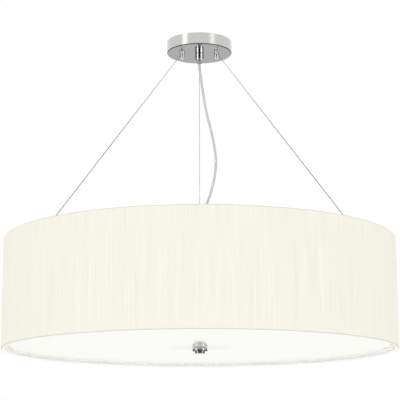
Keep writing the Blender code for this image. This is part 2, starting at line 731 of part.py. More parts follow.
def make_shade(fabric, laminate):
    """Fabric skin rolled over both rings, and the stiff liner that it is bonded to."""
    top_flap_z = ARM_TOP_Z + TOUCH
    bottom_flap_z = TAB_BOTTOM_Z - TOUCH
    skin = [
        (SHADE_RADIUS - FABRIC_EDGE, SHADE_BOTTOM_Z),
        (SHADE_RADIUS, SHADE_BOTTOM_Z + FABRIC_EDGE),
        (SHADE_RADIUS, SHADE_TOP_Z - FABRIC_EDGE),
        (SHADE_RADIUS - FABRIC_EDGE, SHADE_TOP_Z),
        (FLAP_INNER_RADIUS, SHADE_TOP_Z),
        (FLAP_INNER_RADIUS, top_flap_z),
        (FLAP_RADIUS, top_flap_z),
        (FLAP_RADIUS, SHADE_TOP_Z - FABRIC_THICKNESS),
        (FABRIC_INNER_RADIUS, SHADE_TOP_Z - FABRIC_THICKNESS),
        (FABRIC_INNER_RADIUS, SHADE_BOTTOM_Z + FABRIC_THICKNESS),
        (FLAP_RADIUS, SHADE_BOTTOM_Z + FABRIC_THICKNESS),
        (FLAP_RADIUS, bottom_flap_z),
        (FLAP_INNER_RADIUS, bottom_flap_z),
        (FLAP_INNER_RADIUS, SHADE_BOTTOM_Z),
    ]
    turned("shade_fabric", fabric, skin, DRUM_SEGMENTS, closed=True)
    margin = FABRIC_THICKNESS + TOUCH
    wall = tube_wall(LINER_INNER_RADIUS, LINER_RADIUS, SHADE_BOTTOM_Z + margin, SHADE_TOP_Z - margin)
    turned("shade_liner", laminate, wall, DRUM_SEGMENTS, closed=True)


def make_rings(steel):
    """Round wire rings at the shade's two edges. The lower one carries the diffuser's tabs."""
    for name, height in (("top_ring", TOP_RING_Z), ("bottom_ring", BOTTOM_RING_Z)):
        section = arc(RING_RADIUS, height, RING_WIRE_RADIUS, 0.0, FULL_TURN, HEX_SIDES)[:-1]
        ring = turned(name, steel, section, DRUM_SEGMENTS, closed=True)
        if name == "bottom_ring":
            add_tabs(ring)


def add_tabs(ring):
    """Weld the small flat tabs that the diffuser's edge rests on to the bottom ring."""
    half = TAB_WIDTH / 2
    nose = arc(TAB_INNER_RADIUS + half, 0.0, half, math.pi / 2, math.pi * 3 / 2, HEX_SIDES)
    outline = nose + [(RING_RADIUS, -half), (RING_RADIUS, half)]
    for number in range(TAB_COUNT):
        form = bmesh.new()
        add_plate(form, outline, TAB_BOTTOM_Z, TAB_BOTTOM_Z + TAB_THICKNESS)
        name = f"tab_{number + 1}"
        tab = add_object(name, mesh_from(name, form), ring.data.materials[0])
        tab.rotation_euler.z = math.radians(TAB_FIRST_AZIMUTH) + FULL_TURN * number / TAB_COUNT
        join(ring, tab)


def make_spider(steel):
    """Three flat arms under the top ring, each screwed to a round hub."""
    half = ARM_WIDTH / 2
    tip = arc(ARM_INNER_RADIUS + half, 0.0, half, math.pi / 2, math.pi * 3 / 2, HEX_SIDES)
    outline = tip + [(RING_RADIUS, -half), (RING_RADIUS, half)]
    hole = ARM_SCREW_RADIUS + SCREW_CLEARANCE
    head_bottom = ARM_TOP_Z + TOUCH
    head_top = head_bottom + ARM_SCREW_HEAD_HEIGHT
    screw = [
        (0.0, HUB_BOTTOM_Z),
        (ARM_SCREW_RADIUS, HUB_BOTTOM_Z),
        (ARM_SCREW_RADIUS, head_bottom),
        (ARM_SCREW_HEAD_RADIUS, head_bottom),
        (ARM_SCREW_HEAD_RADIUS * 3 / 4, head_top),
        (0.0, head_top),
    ]
    hub = turned("spider_hub", steel,
                 tube_wall(HUB_BORE_RADIUS, HUB_RADIUS, HUB_BOTTOM_Z, HUB_TOP_Z),
                 BOX_SEGMENTS, closed=True)
    for number, azimuth in enumerate(WIRE_AZIMUTHS, 1):
        form = bmesh.new()
        add_plate(form, outline, ARM_BOTTOM_Z, ARM_TOP_Z)
        name = f"spider_arm_{number}"
        arm = add_object(name, mesh_from(name, form), steel)
        arm.rotation_euler.z = math.radians(azimuth)
        place = polar(ARM_SCREW_PLACE, azimuth)
        cut_hole(arm, f"arm_hole_cutter_{number}", hole, place.x, place.y, ARM_BOTTOM_Z, ARM_TOP_Z)
        cut_hole(hub, f"hub_hole_cutter_{number}", hole, place.x, place.y, HUB_BOTTOM_Z, HUB_TOP_Z)
        turned(f"arm_screw_{number}", steel, screw, FINE_SEGMENTS, place=place)


def make_anchors(steel):
    """Slotted cups on the arms, each holding the ball that is swaged onto its wire."""
    base = ARM_TOP_Z + TOUCH
    top = base + ANCHOR_HEIGHT
    half = ANCHOR_SLOT_WIDTH / 2
    for number, azimuth in enumerate(WIRE_AZIMUTHS, 1):
        place = polar(WIRE_ANCHOR_RADIUS, azimuth)
        cup = turned(f"wire_anchor_{number}", steel,
                     solid_pin(ANCHOR_RADIUS, base, top, ANCHOR_EDGE), FINE_SEGMENTS, place=place)
        cup.rotation_euler.z = math.radians(azimuth)
        pocket = turned(f"pocket_cutter_{number}", steel, ball_profile(BALL_RADIUS + TOUCH, BALL_Z),
                        FINE_SEGMENTS, place=place)
        pocket.rotation_euler.z = math.radians(azimuth) + half_facet(FINE_SEGMENTS)
        cut(cup, pocket)
        form = bmesh.new()
        add_plate(form, rectangle(-ANCHOR_RADIUS - OVERRUN, 0.0, -half, half), BALL_Z, top + OVERRUN)
        slot = add_object(f"slot_cutter_{number}", mesh_from(f"slot_cutter_{number}", form), steel)
        slot.location = place
        slot.rotation_euler.z = math.radians(azimuth)
        cut(cup, slot)
        turned(f"wire_ball_{number}", steel, ball_profile(BALL_RADIUS, BALL_Z), FINE_SEGMENTS,
               place=place)


def ball_profile(radius, height):
    """Profile of a ball, from its lowest point to its highest."""
    turns = [-math.pi / 2 + math.pi * step / HEX_SIDES for step in range(HEX_SIDES + 1)]
    points = [(radius * math.cos(turn), height + radius * math.sin(turn)) for turn in turns]
    points[0] = (0.0, height - radius)
    points[-1] = (0.0, height + radius)
    return points


def make_hub_parts(plastic, steel):
    """Cord grip through the hub, the stem that screws onto its neck, and the stem's locknut."""
    base = HUB_TOP_Z + TOUCH
    shoulder = HUB_GRIP_TOP_Z - HUB_GRIP_TIP_HEIGHT
    neck_bottom = STEM_TOP_Z - HUB_GRIP_NECK_REACH
    grip = [
        (CORD_BORE_RADIUS, neck_bottom),
        (HUB_GRIP_NECK_RADIUS, neck_bottom),
        (HUB_GRIP_NECK_RADIUS, base),
        (HUB_GRIP_RADIUS, base),
        (HUB_GRIP_RADIUS, shoulder),
        (HUB_GRIP_TIP_RADIUS, HUB_GRIP_TOP_Z),
        (CORD_BORE_RADIUS, HUB_GRIP_TOP_Z),
    ]
    turned("hub_cord_grip", plastic, grip, ROUND_SEGMENTS, closed=True)
    coupling_bottom = STEM_TOP_Z - STEM_COUPLING_HEIGHT
    socket_bottom = neck_bottom - TOUCH
    collar_bottom = LID_TOP_Z + TOUCH
    stem_bottom = LID_TOP_Z - STEM_END_REACH
    socket = HUB_GRIP_NECK_RADIUS + TOUCH
    coupling = STEM_COUPLING_WIDTH / 2
    stem = [
        (STEM_BORE_RADIUS, stem_bottom),
        (STEM_RADIUS, stem_bottom),
        (STEM_RADIUS, collar_bottom),
        (coupling, collar_bottom),
        (coupling, collar_bottom + STEM_COLLAR_HEIGHT),
        (STEM_RADIUS, collar_bottom + STEM_COLLAR_HEIGHT),
        (STEM_RADIUS, coupling_bottom),
        (coupling, coupling_bottom),
        (coupling, STEM_TOP_Z),
        (socket, STEM_TOP_Z),
        (socket, socket_bottom),
        (STEM_BORE_RADIUS, socket_bottom),
    ]
    turned("stem_tube", steel, stem, ROUND_SEGMENTS, closed=True)
    nut_top = LID_TOP_Z - BOX_WALL - TOUCH
    hex_nut("stem_locknut", steel, STEM_RADIUS + TOUCH, STEM_COUPLING_WIDTH,
            nut_top - STEM_NUT_THICKNESS, nut_top)


def make_wiring_box(steel):
    """Round cup with three lamp arms welded into it, and its lid."""
    floor = BOX_BOTTOM_Z + BOX_WALL
    inside = BOX_RADIUS - BOX_WALL
    cup = [
        (ROD_RADIUS + ROD_CLEARANCE, BOX_BOTTOM_Z),
        (BOX_RADIUS - BOX_EDGE, BOX_BOTTOM_Z),
        (BOX_RADIUS, BOX_BOTTOM_Z + BOX_EDGE),
        (BOX_RADIUS, BOX_TOP_Z),
        (inside, BOX_TOP_Z),
        (inside, floor + BOX_EDGE),
        (inside - BOX_EDGE, floor),
        (ROD_RADIUS + ROD_CLEARANCE, floor),
    ]
    box = turned("wiring_box", steel, cup, BOX_SEGMENTS, closed=True)
    arm_end = LAMP_ARM_START + LAMP_ARM_LENGTH
    for number, azimuth in enumerate(lamp_azimuths(), 1):
        placement = lying_outward(azimuth, LAMP_Z)
        arm = turned(f"lamp_arm_{number}", steel,
                     solid_pin(LAMP_ARM_RADIUS, LAMP_ARM_START, arm_end), FINE_SEGMENTS)
        arm.matrix_world = placement
        join(box, arm)
        bore = turned(f"lamp_arm_bore_{number}", steel,
                      solid_pin(LAMP_ARM_BORE_RADIUS, LAMP_ARM_START - OVERRUN, arm_end + OVERRUN),
                      FINE_SEGMENTS)
        bore.matrix_world = placement @ Matrix.Rotation(half_facet(FINE_SEGMENTS), 4, "Z")
        cut(box, bore)
    bore_radius = STEM_RADIUS + TOUCH
    skirt_inner = BOX_RADIUS + TOUCH
    skirt_outer = skirt_inner + BOX_WALL
    under = LID_TOP_Z - BOX_WALL
    skirt_z = LID_TOP_Z - LID_SKIRT
    lid = [
        (bore_radius, under),
        (skirt_inner, under),
        (skirt_inner, skirt_z),
        (skirt_outer, skirt_z),
        (skirt_outer, LID_TOP_Z - LID_EDGE),
        (skirt_outer - LID_EDGE, LID_TOP_Z),
        (bore_radius, LID_TOP_Z),
    ]
    turned("wiring_box_lid", steel, lid, BOX_SEGMENTS, closed=True)


def lamp_azimuths():
    """The azimuth of each lamp in degrees."""
    return [LAMP_FIRST_AZIMUTH + math.degrees(FULL_TURN) * lamp / LAMP_COUNT
            for lamp in range(LAMP_COUNT)]


def make_lamps(plastic, glass):
    """On each arm a lampholder with its lamp, lying outward."""
    arm_end = LAMP_ARM_START + LAMP_ARM_LENGTH
    start = arm_end - HOLDER_SEAT_DEPTH
    seat = arm_end + TOUCH
    shoulder = start + HOLDER_SHOULDER_LENGTH
    end = start + HOLDER_LENGTH
    socket = HOLDER_RADIUS - HOLDER_WALL
    floor = end - HOLDER_SOCKET_DEPTH
    arm_hole = LAMP_ARM_RADIUS + TOUCH
    holder = [
        (0.0, seat),
        (arm_hole, seat),
        (arm_hole, start),
        (HOLDER_NECK_RADIUS, start),
        (HOLDER_RADIUS - HOLDER_EDGE, shoulder),
        (HOLDER_RADIUS, shoulder + HOLDER_EDGE),
        (HOLDER_RADIUS, end - HOLDER_EDGE),
        (HOLDER_RADIUS - HOLDER_EDGE, end),
        (socket, end),
        (socket, floor),
        (0.0, floor),
    ]
    tip = floor + TOUCH
    cap_end = end + TOUCH
    bulb_end = cap_end + LAMP_LENGTH
    centre = bulb_end - LAMP_RADIUS
    lamp = [
        (0.0, tip),
        (LAMP_CAP_TIP_RADIUS, tip),
        (LAMP_CAP_RADIUS, tip + LAMP_CAP_TIP_LENGTH),
        (LAMP_CAP_RADIUS, cap_end),
        (LAMP_NECK_RADIUS, cap_end),
    ]
    first = -math.pi / 4
    for step in range(HEX_SIDES):
        turn = first + (math.pi / 2 - first) * step / HEX_SIDES
        lamp.append((LAMP_RADIUS * math.cos(turn), centre + LAMP_RADIUS * math.sin(turn)))
    lamp.append((0.0, bulb_end))
    for number, azimuth in enumerate(lamp_azimuths(), 1):
        placement = lying_outward(azimuth, LAMP_Z)
        body = turned(f"lampholder_{number}", plastic, holder, ROUND_SEGMENTS)
        body.matrix_world = placement
        bulb = turned(f"lamp_{number}", glass, lamp, ROUND_SEGMENTS)
        bulb.matrix_world = placement


def make_rod(steel):
    """Rod down from the wiring box, its head on the box's floor and a locknut under it."""
    corner = ROD_HEAD_WIDTH / 2
    rod = [
        (0.0, ROD_BOTTOM_Z),
        (ROD_RADIUS, ROD_BOTTOM_Z),
        (ROD_RADIUS, ROD_SEAT_Z),
        (corner, ROD_SEAT_Z),
        (corner, ROD_SEAT_Z + ROD_HEAD_HEIGHT),
        (0.0, ROD_SEAT_Z + ROD_HEAD_HEIGHT),
    ]
    turned("diffuser_rod", steel, rod, FINE_SEGMENTS)
    nut_top = BOX_BOTTOM_Z - TOUCH
    hex_nut("rod_locknut", steel, ROD_RADIUS + TOUCH, ROD_HEAD_WIDTH,
            nut_top - ROD_NUT_THICKNESS, nut_top)


def make_diffuser(acrylic):
    """Opal disc on the tabs, with a hole where the rod passes."""
    disc = tube_wall(ROD_RADIUS + ROD_CLEARANCE, DIFFUSER_RADIUS,
                     DIFFUSER_BOTTOM_Z, DIFFUSER_TOP_Z)
    turned("diffuser", acrylic, disc, DRUM_SEGMENTS, closed=True)


def lobe_radius(turn, edge):
    """Radius of the lobed outline at an angle, drawn in by the given edge."""
    crest = abs(math.cos(turn * FINIAL_LOBES / 2))
    fullness = math.sqrt(crest)
    return FINIAL_VALLEY_RADIUS + (FINIAL_RADIUS - FINIAL_VALLEY_RADIUS) * fullness - edge


def make_finial(chrome):
    """Washer under the diffuser, and the lobed finial nut that is turned by hand."""
    bore = ROD_RADIUS + ROD_CLEARANCE
    washer = tube_wall(bore, WASHER_RADIUS, WASHER_TOP_Z - WASHER_THICKNESS, WASHER_TOP_Z)
    turned("finial_washer", chrome, washer, ROUND_SEGMENTS, closed=True)
    count = FINIAL_LOBES * FINIAL_LOBE_STEPS
    lobed_bottom = FINIAL_TOP_Z - FINIAL_LOBED_HEIGHT
    bore_top = FINIAL_TOP_Z - FINIAL_BORE_DEPTH

    def plain(radius):
        return lambda turn: radius

    def lobed(edge):
        return lambda turn: lobe_radius(turn, edge)

    rings = [
        (bore_top, plain(bore)),
        (FINIAL_TOP_Z, plain(bore)),
        (FINIAL_TOP_Z, lobed(FINIAL_EDGE)),
        (FINIAL_TOP_Z - FINIAL_EDGE, lobed(0.0)),
        (lobed_bottom + FINIAL_EDGE, lobed(0.0)),
        (lobed_bottom, lobed(FINIAL_EDGE)),
        (lobed_bottom, plain(BOSS_RADIUS)),
        (FINIAL_BOTTOM_Z + BOSS_EDGE, plain(BOSS_RADIUS)),
        (FINIAL_BOTTOM_Z, plain(BOSS_RADIUS - BOSS_EDGE)),
    ]
    form = bmesh.new()
    loops = []
    for height, radius_at in rings:
        loop = []
        for step in range(count):
            turn = FULL_TURN * step / count
            radius = radius_at(turn - math.pi / 2)
            loop.append(form.verts.new((radius * math.cos(turn), radius * math.sin(turn), height)))
        loops.append(loop)
    for upper, lower in zip(loops, loops[1:]):
        for step in range(count):
            after = (step + 1) % count
            form.faces.new((upper[step], upper[after], lower[after], lower[step]))
    form.faces.new(loops[0])
    form.faces.new(loops[-1])
    add_object("finial_knob", mesh_from("finial_knob", form), chrome)


def main():
    """Build the whole light."""
    clear_scene()
    chrome = material("polished_chrome", (0.80, 0.80, 0.79), 0.06, 1.0)
    zinc = material("zinc_steel", (0.62, 0.63, 0.62), 0.35, 1.0)
    white_steel = material("white_enamel_steel", (0.86, 0.86, 0.84), 0.40)
    wire_steel = material("stranded_steel", (0.45, 0.45, 0.44), 0.30, 1.0)
    brass = material("brass", (0.80, 0.62, 0.32), 0.30, 1.0)
    fabric = material("ivory_fabric", (0.93, 0.91, 0.82), 0.85)
    laminate = material("white_laminate", (0.93, 0.93, 0.90), 0.55)
    flex = material("white_flex", (0.80, 0.81, 0.79), 0.45)
    plastic = material("white_plastic", (0.85, 0.85, 0.83), 0.45)
    acrylic = material("opal_acrylic", (0.95, 0.96, 0.93), 0.12)
    glass = material("opal_glass", (0.93, 0.93, 0.91), 0.20)
    make_bracket(zinc)
    make_studs(zinc)
    make_terminals(plastic, brass, flex)
    make_canopy(chrome)
    make_cap_nuts(chrome)
    make_canopy_grip(chrome, zinc)
    make_flex(flex)
    make_wire_grips(chrome, zinc)
    make_wires(wire_steel)
    make_shade(fabric, laminate)
    make_rings(white_steel)
    make_spider(white_steel)
    make_anchors(zinc)
    make_hub_parts(plastic, white_steel)
    make_wiring_box(white_steel)
    make_lamps(plastic, glass)
    make_rod(zinc)
    make_diffuser(acrylic)
    make_finial(chrome)


main()
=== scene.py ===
"""The finished looks of a drum pendant light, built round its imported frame.

Units are metres and +Z is up, as in the frame: the ceiling lies at z = 0 and the light hangs below.
An azimuth of a fitting is counted from +X; an azimuth of the stage's cards from the viewer's side.
"""

import json
import math

import bmesh
import bpy
from mathutils import Matrix, Vector


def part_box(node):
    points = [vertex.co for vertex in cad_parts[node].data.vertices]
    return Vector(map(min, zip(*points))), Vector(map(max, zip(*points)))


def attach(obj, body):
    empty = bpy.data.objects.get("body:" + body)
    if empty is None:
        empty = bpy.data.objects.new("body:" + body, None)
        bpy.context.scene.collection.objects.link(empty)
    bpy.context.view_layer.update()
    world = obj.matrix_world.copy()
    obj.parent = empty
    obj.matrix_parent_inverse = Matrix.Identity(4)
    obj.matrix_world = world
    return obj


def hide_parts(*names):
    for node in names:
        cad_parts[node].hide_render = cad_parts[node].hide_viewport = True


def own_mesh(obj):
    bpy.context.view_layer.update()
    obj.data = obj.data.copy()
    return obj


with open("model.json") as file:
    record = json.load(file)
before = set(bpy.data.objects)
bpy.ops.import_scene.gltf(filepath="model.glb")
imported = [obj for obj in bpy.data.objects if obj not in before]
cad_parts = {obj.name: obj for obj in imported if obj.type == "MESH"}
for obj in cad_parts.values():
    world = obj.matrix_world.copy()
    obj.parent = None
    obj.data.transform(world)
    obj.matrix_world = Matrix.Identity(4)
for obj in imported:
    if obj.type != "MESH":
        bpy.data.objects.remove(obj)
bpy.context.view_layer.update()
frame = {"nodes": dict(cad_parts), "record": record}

# The photographed view, from the picture's own frame of 400 x 400 pixels
IMAGE_PIXELS = 400
FOCAL_PIXELS = 1357.0
SENSOR_WIDTH = 36.0
EYE = (0.0008, -3.100, -1.0375)
TILT_UP_DEGREES = 11.895
ROLL_DEGREES = -0.11

# Cords: the flex's own route (how far right of the middle, height), as the frame's cord lies
FLEX_DIAMETER = 0.0063
FLEX_START_Z = -0.0529
FLEX_END_Z = -0.47523
FLEX_ROUTE = (
    (0.0000, -0.0600), (0.0008, -0.0680), (0.0026, -0.0820), (0.0050, -0.1000), (0.0078, -0.1200),
    (0.0115, -0.1450), (0.0160, -0.1700), (0.0218, -0.1950), (0.0278, -0.2200), (0.0330, -0.2450),
    (0.0368, -0.2700), (0.0384, -0.2920), (0.0372, -0.3130), (0.0340, -0.3350), (0.0290, -0.3560),
    (0.0229, -0.3770), (0.0171, -0.3920), (0.0115, -0.4070), (0.0066, -0.4210), (0.0029, -0.4360),
    (0.0008, -0.4520), (0.0000, -0.4660),
)
WIRE_DIAMETER = 0.0015
WIRE_AZIMUTHS = (90.0, 210.0, 330.0)
WIRE_START = (0.048959, -0.035649)
WIRE_END = (0.384526, -0.485285)
WIRE_LENGTH = 0.561
WIRE_SIDES = 12

# The gap that touching pieces keep, as in the frame
TOUCH = 0.0003

# Canopy and its fittings
CANOPY_WALL = 0.0010
CANOPY_EDGE = 0.0022
CORD_HOLE_RADIUS = 0.0063
STUD_HOLE_RADIUS = 0.0024
NECK_HOLE_RADIUS = 0.0037
CORD_RADIUS = 0.0036
GRIP_NECK_RADIUS = 0.0058
GRIP_GROOVE_DEPTH = 0.0005
GRIP_GROOVE_HEIGHTS = (0.0030, 0.0035, 0.0042, 0.0047)
COLLET_MOUTH_RADIUS = 0.0050
COLLET_BAND = 0.0018
CAP_NECK_SHARE = 0.90
CAP_CROWN_SHARE = 0.50
CAP_DOME_HEIGHT = 0.0030
CAP_DOME_EDGE = 0.0018
CAP_FLARE = 0.0016
CAP_GROOVE = 0.0004
WIRE_NECK_RADIUS = 0.0034
RELEASE_HEAD_HEIGHT = 0.0030
RELEASE_STEM_RADIUS = 0.0018
RELEASE_BORE_RADIUS = 0.0021
RELEASE_ROOM = 0.0018

# Shade wall, its seam at the back and the white tape inside its folded edges
SHADE_RADIUS = 0.450
FABRIC_THICKNESS = 0.0006
LINER_THICKNESS = 0.0009
FLAP_INNER_RADIUS = 0.4420
TAPE_RADIUS = 0.4474
FLAP_BOTTOM_Z = -0.7326
ROLL_EDGE = 0.0026
# how far from each edge the cloth is painted darker as shade on its roll
ROLL_PAINTED_SHADE_HEIGHT = 0.0020
SEAM_AZIMUTH = 90.0
SEAM_LAP = 0.012
SEAM_STEP = 0.0006
RING_RADIUS = 0.4454
RING_WIRE_RADIUS = 0.0025
BOTTOM_RING_Z = -0.733935
TAB_FIRST_AZIMUTH = 2.7
TAB_COUNT = 7
TAB_WIDTH = 0.008
TAB_THICKNESS = 0.003
TAB_INNER_RADIUS = 0.423

# Hub with the flex's grip, and anchors
HUB_BORE_RADIUS = 0.0063
ARM_SCREW_PLACE = 0.028
ARM_SCREW_HOLE_RADIUS = 0.0023
GLAND_NECK_RADIUS = 0.0060
GLAND_MOUTH_RADIUS = 0.0052
GLAND_FLANGE_HEIGHTS = (0.0022, 0.0027)
GLAND_CAP_HEIGHT = 0.0070
FLUTE_START = 0.002
FLUTE_DEPTH = 0.0004
FLUTE_COUNT = 12
ANCHOR_PLACE = 0.3865
ANCHOR_SLOT_WIDTH = 0.0024
BALL_RADIUS = 0.0030

# Stem, wiring box and rod
STEM_BORE_RADIUS = 0.0042
STEM_RADIUS = 0.0060
STEM_SOCKET_RADIUS = 0.0063
STEM_COLLAR_HEIGHT = 0.0040
STEM_COUPLING_HEIGHT = 0.0120
BOX_WALL = 0.0012
BOX_EDGE = 0.0030
BOX_RADIUS = 0.050
LID_BORE_RADIUS = 0.0063
ROD_RADIUS = 0.0030
ROD_CLEARANCE = 0.0004
ROD_BORE_RADIUS = ROD_RADIUS + ROD_CLEARANCE
ROD_THREAD_PITCH = 0.0010

# Lamps, by how far out from the light's middle each part lies
LAMP_Z = -0.59093
LAMP_AZIMUTHS = (30.0, 150.0, 270.0)
LAMP_ARM_RADIUS = 0.0050
LAMP_ARM_BORE_RADIUS = 0.0035
LAMP_ARM_SPAN = (0.040, 0.085)
HOLDER_SPAN = (0.079, 0.141)
HOLDER_RADIUS = 0.020
HOLDER_NOSE_RADII = (0.0085, 0.0115)
HOLDER_NOSE_LENGTH = 0.0050
HOLDER_SHOULDER = 0.0100
HOLDER_GROOVE = (0.0240, 0.0246, 0.0258, 0.0264)
HOLDER_GROOVE_DEPTH = 0.0008
HOLDER_RIM_SPAN = (0.0060, 0.0052)
HOLDER_RIM_DEPTH = 0.0010
SOCKET_WALL = 0.0045
SOCKET_DEPTH = 0.031
LAMP_TIP = 0.2233
LAMP_RADIUS = 0.030
LAMP_NECK_RADIUS = 0.0145
LAMP_CAP_STEP = 0.0007
LAMP_CONTACT_RADIUS = 0.0060
LAMP_CONTACT_LENGTH = 0.0050

# Finial
FINIAL_RADIUS = 0.0180
FINIAL_VALLEY_RADIUS = 0.0150
FINIAL_LOBES = 6
FINIAL_LOBED_HEIGHT = 0.0072
FINIAL_LOBE_EDGE = 0.0012
FINIAL_BORE_DEPTH = 0.0098
# painted shade on the finial: below this height its chrome is darkened, over this fade
FINIAL_PAINTED_SHADE_Z = -0.7346
FINIAL_PAINTED_SHADE_FADE = 0.0005
BOSS_RADIUS = 0.0112

# How finely round pieces are cut
DRUM_SEGMENTS = 288
ROUND_SEGMENTS = 96
SMALL_SEGMENTS = 48
CORD_SIDES = 20
ARC_STEPS = 6
SHARP_DEGREES = 32.0
WORN_DEGREES = 40.0
FULL_TURN = 2.0 * math.pi

# Stage: an azimuth span and a level for each card, and a light's place, size, level and colour
WHITE = (1.0, 1.0, 1.0, 1.0)
FLOOR_Z = -2.40
FLOOR_SIZE = 20.0
FLOOR_FADE = (2.5, 8.0)
FLOOR_GLOW = 0.07
WORLD_LEVEL = 0.95
CARD_STEP_DEGREES = 3.0
SOFTBOX_RADIUS = 3.4
SOFTBOX_HEIGHTS = (-3.2, 4.2)
SOFTBOXES = (("left", (-69.0, -36.0), 1.85), ("right", (31.0, 63.0), 1.5))
CANOPY_CARD_RADIUS = 0.60
CANOPY_CARD_HEIGHTS = (-0.33, -0.12)
CARD_LEVELS = {"dark": 0.03, "grey": 0.35, "bright": 4.5}
CANOPY_CARDS = (("front", (-32.0, 38.0), "dark"), ("left", (-70.0, -32.0), "bright"),
                ("right", (38.0, 82.0), "bright"), ("far_left", (-175.0, -70.0), "grey"),
                ("far_right", (82.0, 175.0), "grey"))
COOL_LIGHT = (0.96, 0.98, 1.0)
AREA_LIGHTS = (("fill_left", -62.0, 18.0, 4.5, (1.6, 2.4), 0.84, COOL_LIGHT),
               ("fill_right", 62.0, 18.0, 4.5, (1.6, 2.4), 0.68, COOL_LIGHT),
               ("front_low", 0.0, -30.0, 3.6, (2.0, 2.0), 0.9, WHITE[:3]))
LIGHT_AIM = (0.0, 0.0, -0.3)
INSIDE_PLACE = (0.0, 0.03, -0.660)
INSIDE_RADIUS = 0.03
INSIDE_WATTS = 1.0

# Each CAD node's body and material slot, as the record has them
BODIES = {name: body for body, names in frame["record"]["behaviour"]["bodies"].items()
          for name in names}
SLOTS = {item["node"]: item["material_slot"] for item in frame["record"]["subparts"]}


# Materials

def new_material(name):
    """A new material with its node tree and its Principled shader."""
    made = bpy.data.materials.new(name)
    made.use_nodes = True
    return made, made.node_tree, made.node_tree.nodes["Principled BSDF"]


def wired(made, *values, **named):
    """A shader node with inputs set in order or by name: a socket is linked, a value is written."""
    pairs = list(zip(made.inputs, values))
    pairs += [(made.inputs[name.replace("_", " ")], value) for name, value in named.items()]
    for socket, value in pairs:
        if isinstance(value, bpy.types.NodeSocket):
            made.id_data.links.new(value, socket)
        else:
            socket.default_value = value
    return made


def node(tree, kind, *values, operation=None, **named):
    """A new shader node with its inputs set, and its operation where it has one."""
    made = tree.nodes.new("ShaderNode" + kind)
    if operation:
        made.operation = operation
    return wired(made, *values, **named)


def placed(tree, stretch=(1.0, 1.0, 1.0), source="Object"):
    """Texture coordinates, stretched along each axis."""
    coordinates = node(tree, "TexCoord").outputs[source]
    return node(tree, "Mapping", Vector=coordinates, Scale=stretch).outputs["Vector"]


def axes(tree, vector):
    """The X, Y and Z of a vector."""
    return list(node(tree, "SeparateXYZ", Vector=vector).outputs)


def facing_up(tree):
    """How far a surface faces up: 1 on a top face and -1 on an underside."""
    return axes(tree, node(tree, "NewGeometry").outputs["Normal"])[2]


def length_of(tree, vector):
    """The length of a vector."""
    return node(tree, "VectorMath", vector, operation="LENGTH").outputs["Value"]


def noise(tree, vector, scale, detail=3.0, roughness=0.5):
    """The value of a noise texture."""
    made = node(tree, "TexNoise", Vector=vector, Scale=scale, Detail=detail, Roughness=roughness)
    return made.outputs["Fac"]


def spread(tree, value, low, high, start=0.25, end=0.75):
    """A value carried from the range start..end to low..high."""
    made = node(tree, "MapRange", Value=value, From_Min=start, From_Max=end, To_Min=low, To_Max=high)
    return made.outputs["Result"]


def maths(tree, operation, *values):
    """The result of one operation on one value or two."""
    return node(tree, "Math", *values, operation=operation).outputs[0]


def weighted(tree, *parts):
    """The sum of (value, weight) pairs."""
    total = 0.0
    for value, weight in parts:
        total = maths(tree, "ADD", maths(tree, "MULTIPLY", value, weight), total)
    return total


def tinted(tree, factor, dark, light):
    """A colour between two, by a factor."""
    made = tree.nodes.new("ShaderNodeMix")
    made.data_type = "RGBA"
    made.inputs[6].default_value = (*dark, 1.0)
    made.inputs[7].default_value = (*light, 1.0)
    return wired(made, factor).outputs[2]


def ramped(tree, value, stops):
    """A colour that follows a value through stops of (place, colour)."""
    ramp = node(tree, "ValToRGB", Fac=value)
    while len(ramp.color_ramp.elements) < len(stops):
        ramp.color_ramp.elements.new(0.5)
    for element, (place, colour) in zip(ramp.color_ramp.elements, stops):
        element.position = place
        element.color = (*colour, 1.0)
    return ramp.outputs["Color"]


def raised(tree, shader, height, distance, strength=1.0):
    """Give the shader a bump from a height value."""
    bump = node(tree, "Bump", Height=height, Distance=distance, Strength=strength)
    wired(shader, Normal=bump.outputs["Normal"])


def shaded(colour, share):
    """A colour made darker or lighter by a share."""
    return tuple(min(1.0, channel * share) for channel in colour)


def grained(name, colour, roughness, clouds, grain, tone, gloss_spread, depth, **settings):
    """A surface whose tone follows clouds of noise, and whose gloss and height follow its grain."""
    made, tree, shader = new_material(name)
    vector = placed(tree)
    factor = spread(tree, noise(tree, vector, *clouds), 0.0, 1.0)
    fine = noise(tree, vector, *grain)
    colours = tinted(tree, factor, shaded(colour, 1.0 - tone), shaded(colour, 1.0 + tone))
    gloss = spread(tree, fine, roughness - gloss_spread, roughness + gloss_spread)
    wired(shader, Base_Color=colours, Roughness=gloss, **settings)
    raised(tree, shader, fine, depth)
    return made


def metal(name, colour, roughness, grain=160.0, tone=0.015, gloss_spread=0.015, depth=0.000004):
    """A metal whose tone and gloss vary a little with its grain."""
    return grained(name, colour, roughness, (grain * 0.1, 4.0), (grain, 5.0, 0.6), tone,
                   gloss_spread, depth, Metallic=1.0)


def moulded(name, colour, roughness, grain=900.0, tone=0.012, depth=0.00003, coat=0.0):
    """Plastic or enamel with a fine moulded or sprayed surface."""
    return grained(name, colour, roughness, (18.0, 3.0), (grain, 3.0, 0.55), tone, 0.04, depth,
                   Coat_Weight=coat)


def polished(tree, shader, colours, tone, roughness, fine):
    """Finish a metal shader: its colours made darker or lighter by a tone, and its gloss."""
    scaled = node(tree, "VectorMath", colours, operation="SCALE", Scale=tone)
    wired(shader, Base_Color=scaled.outputs["Vector"], Metallic=1.0,
          Roughness=spread(tree, fine, roughness - 0.02, roughness + 0.02))
    raised(tree, shader, fine, 0.000003)


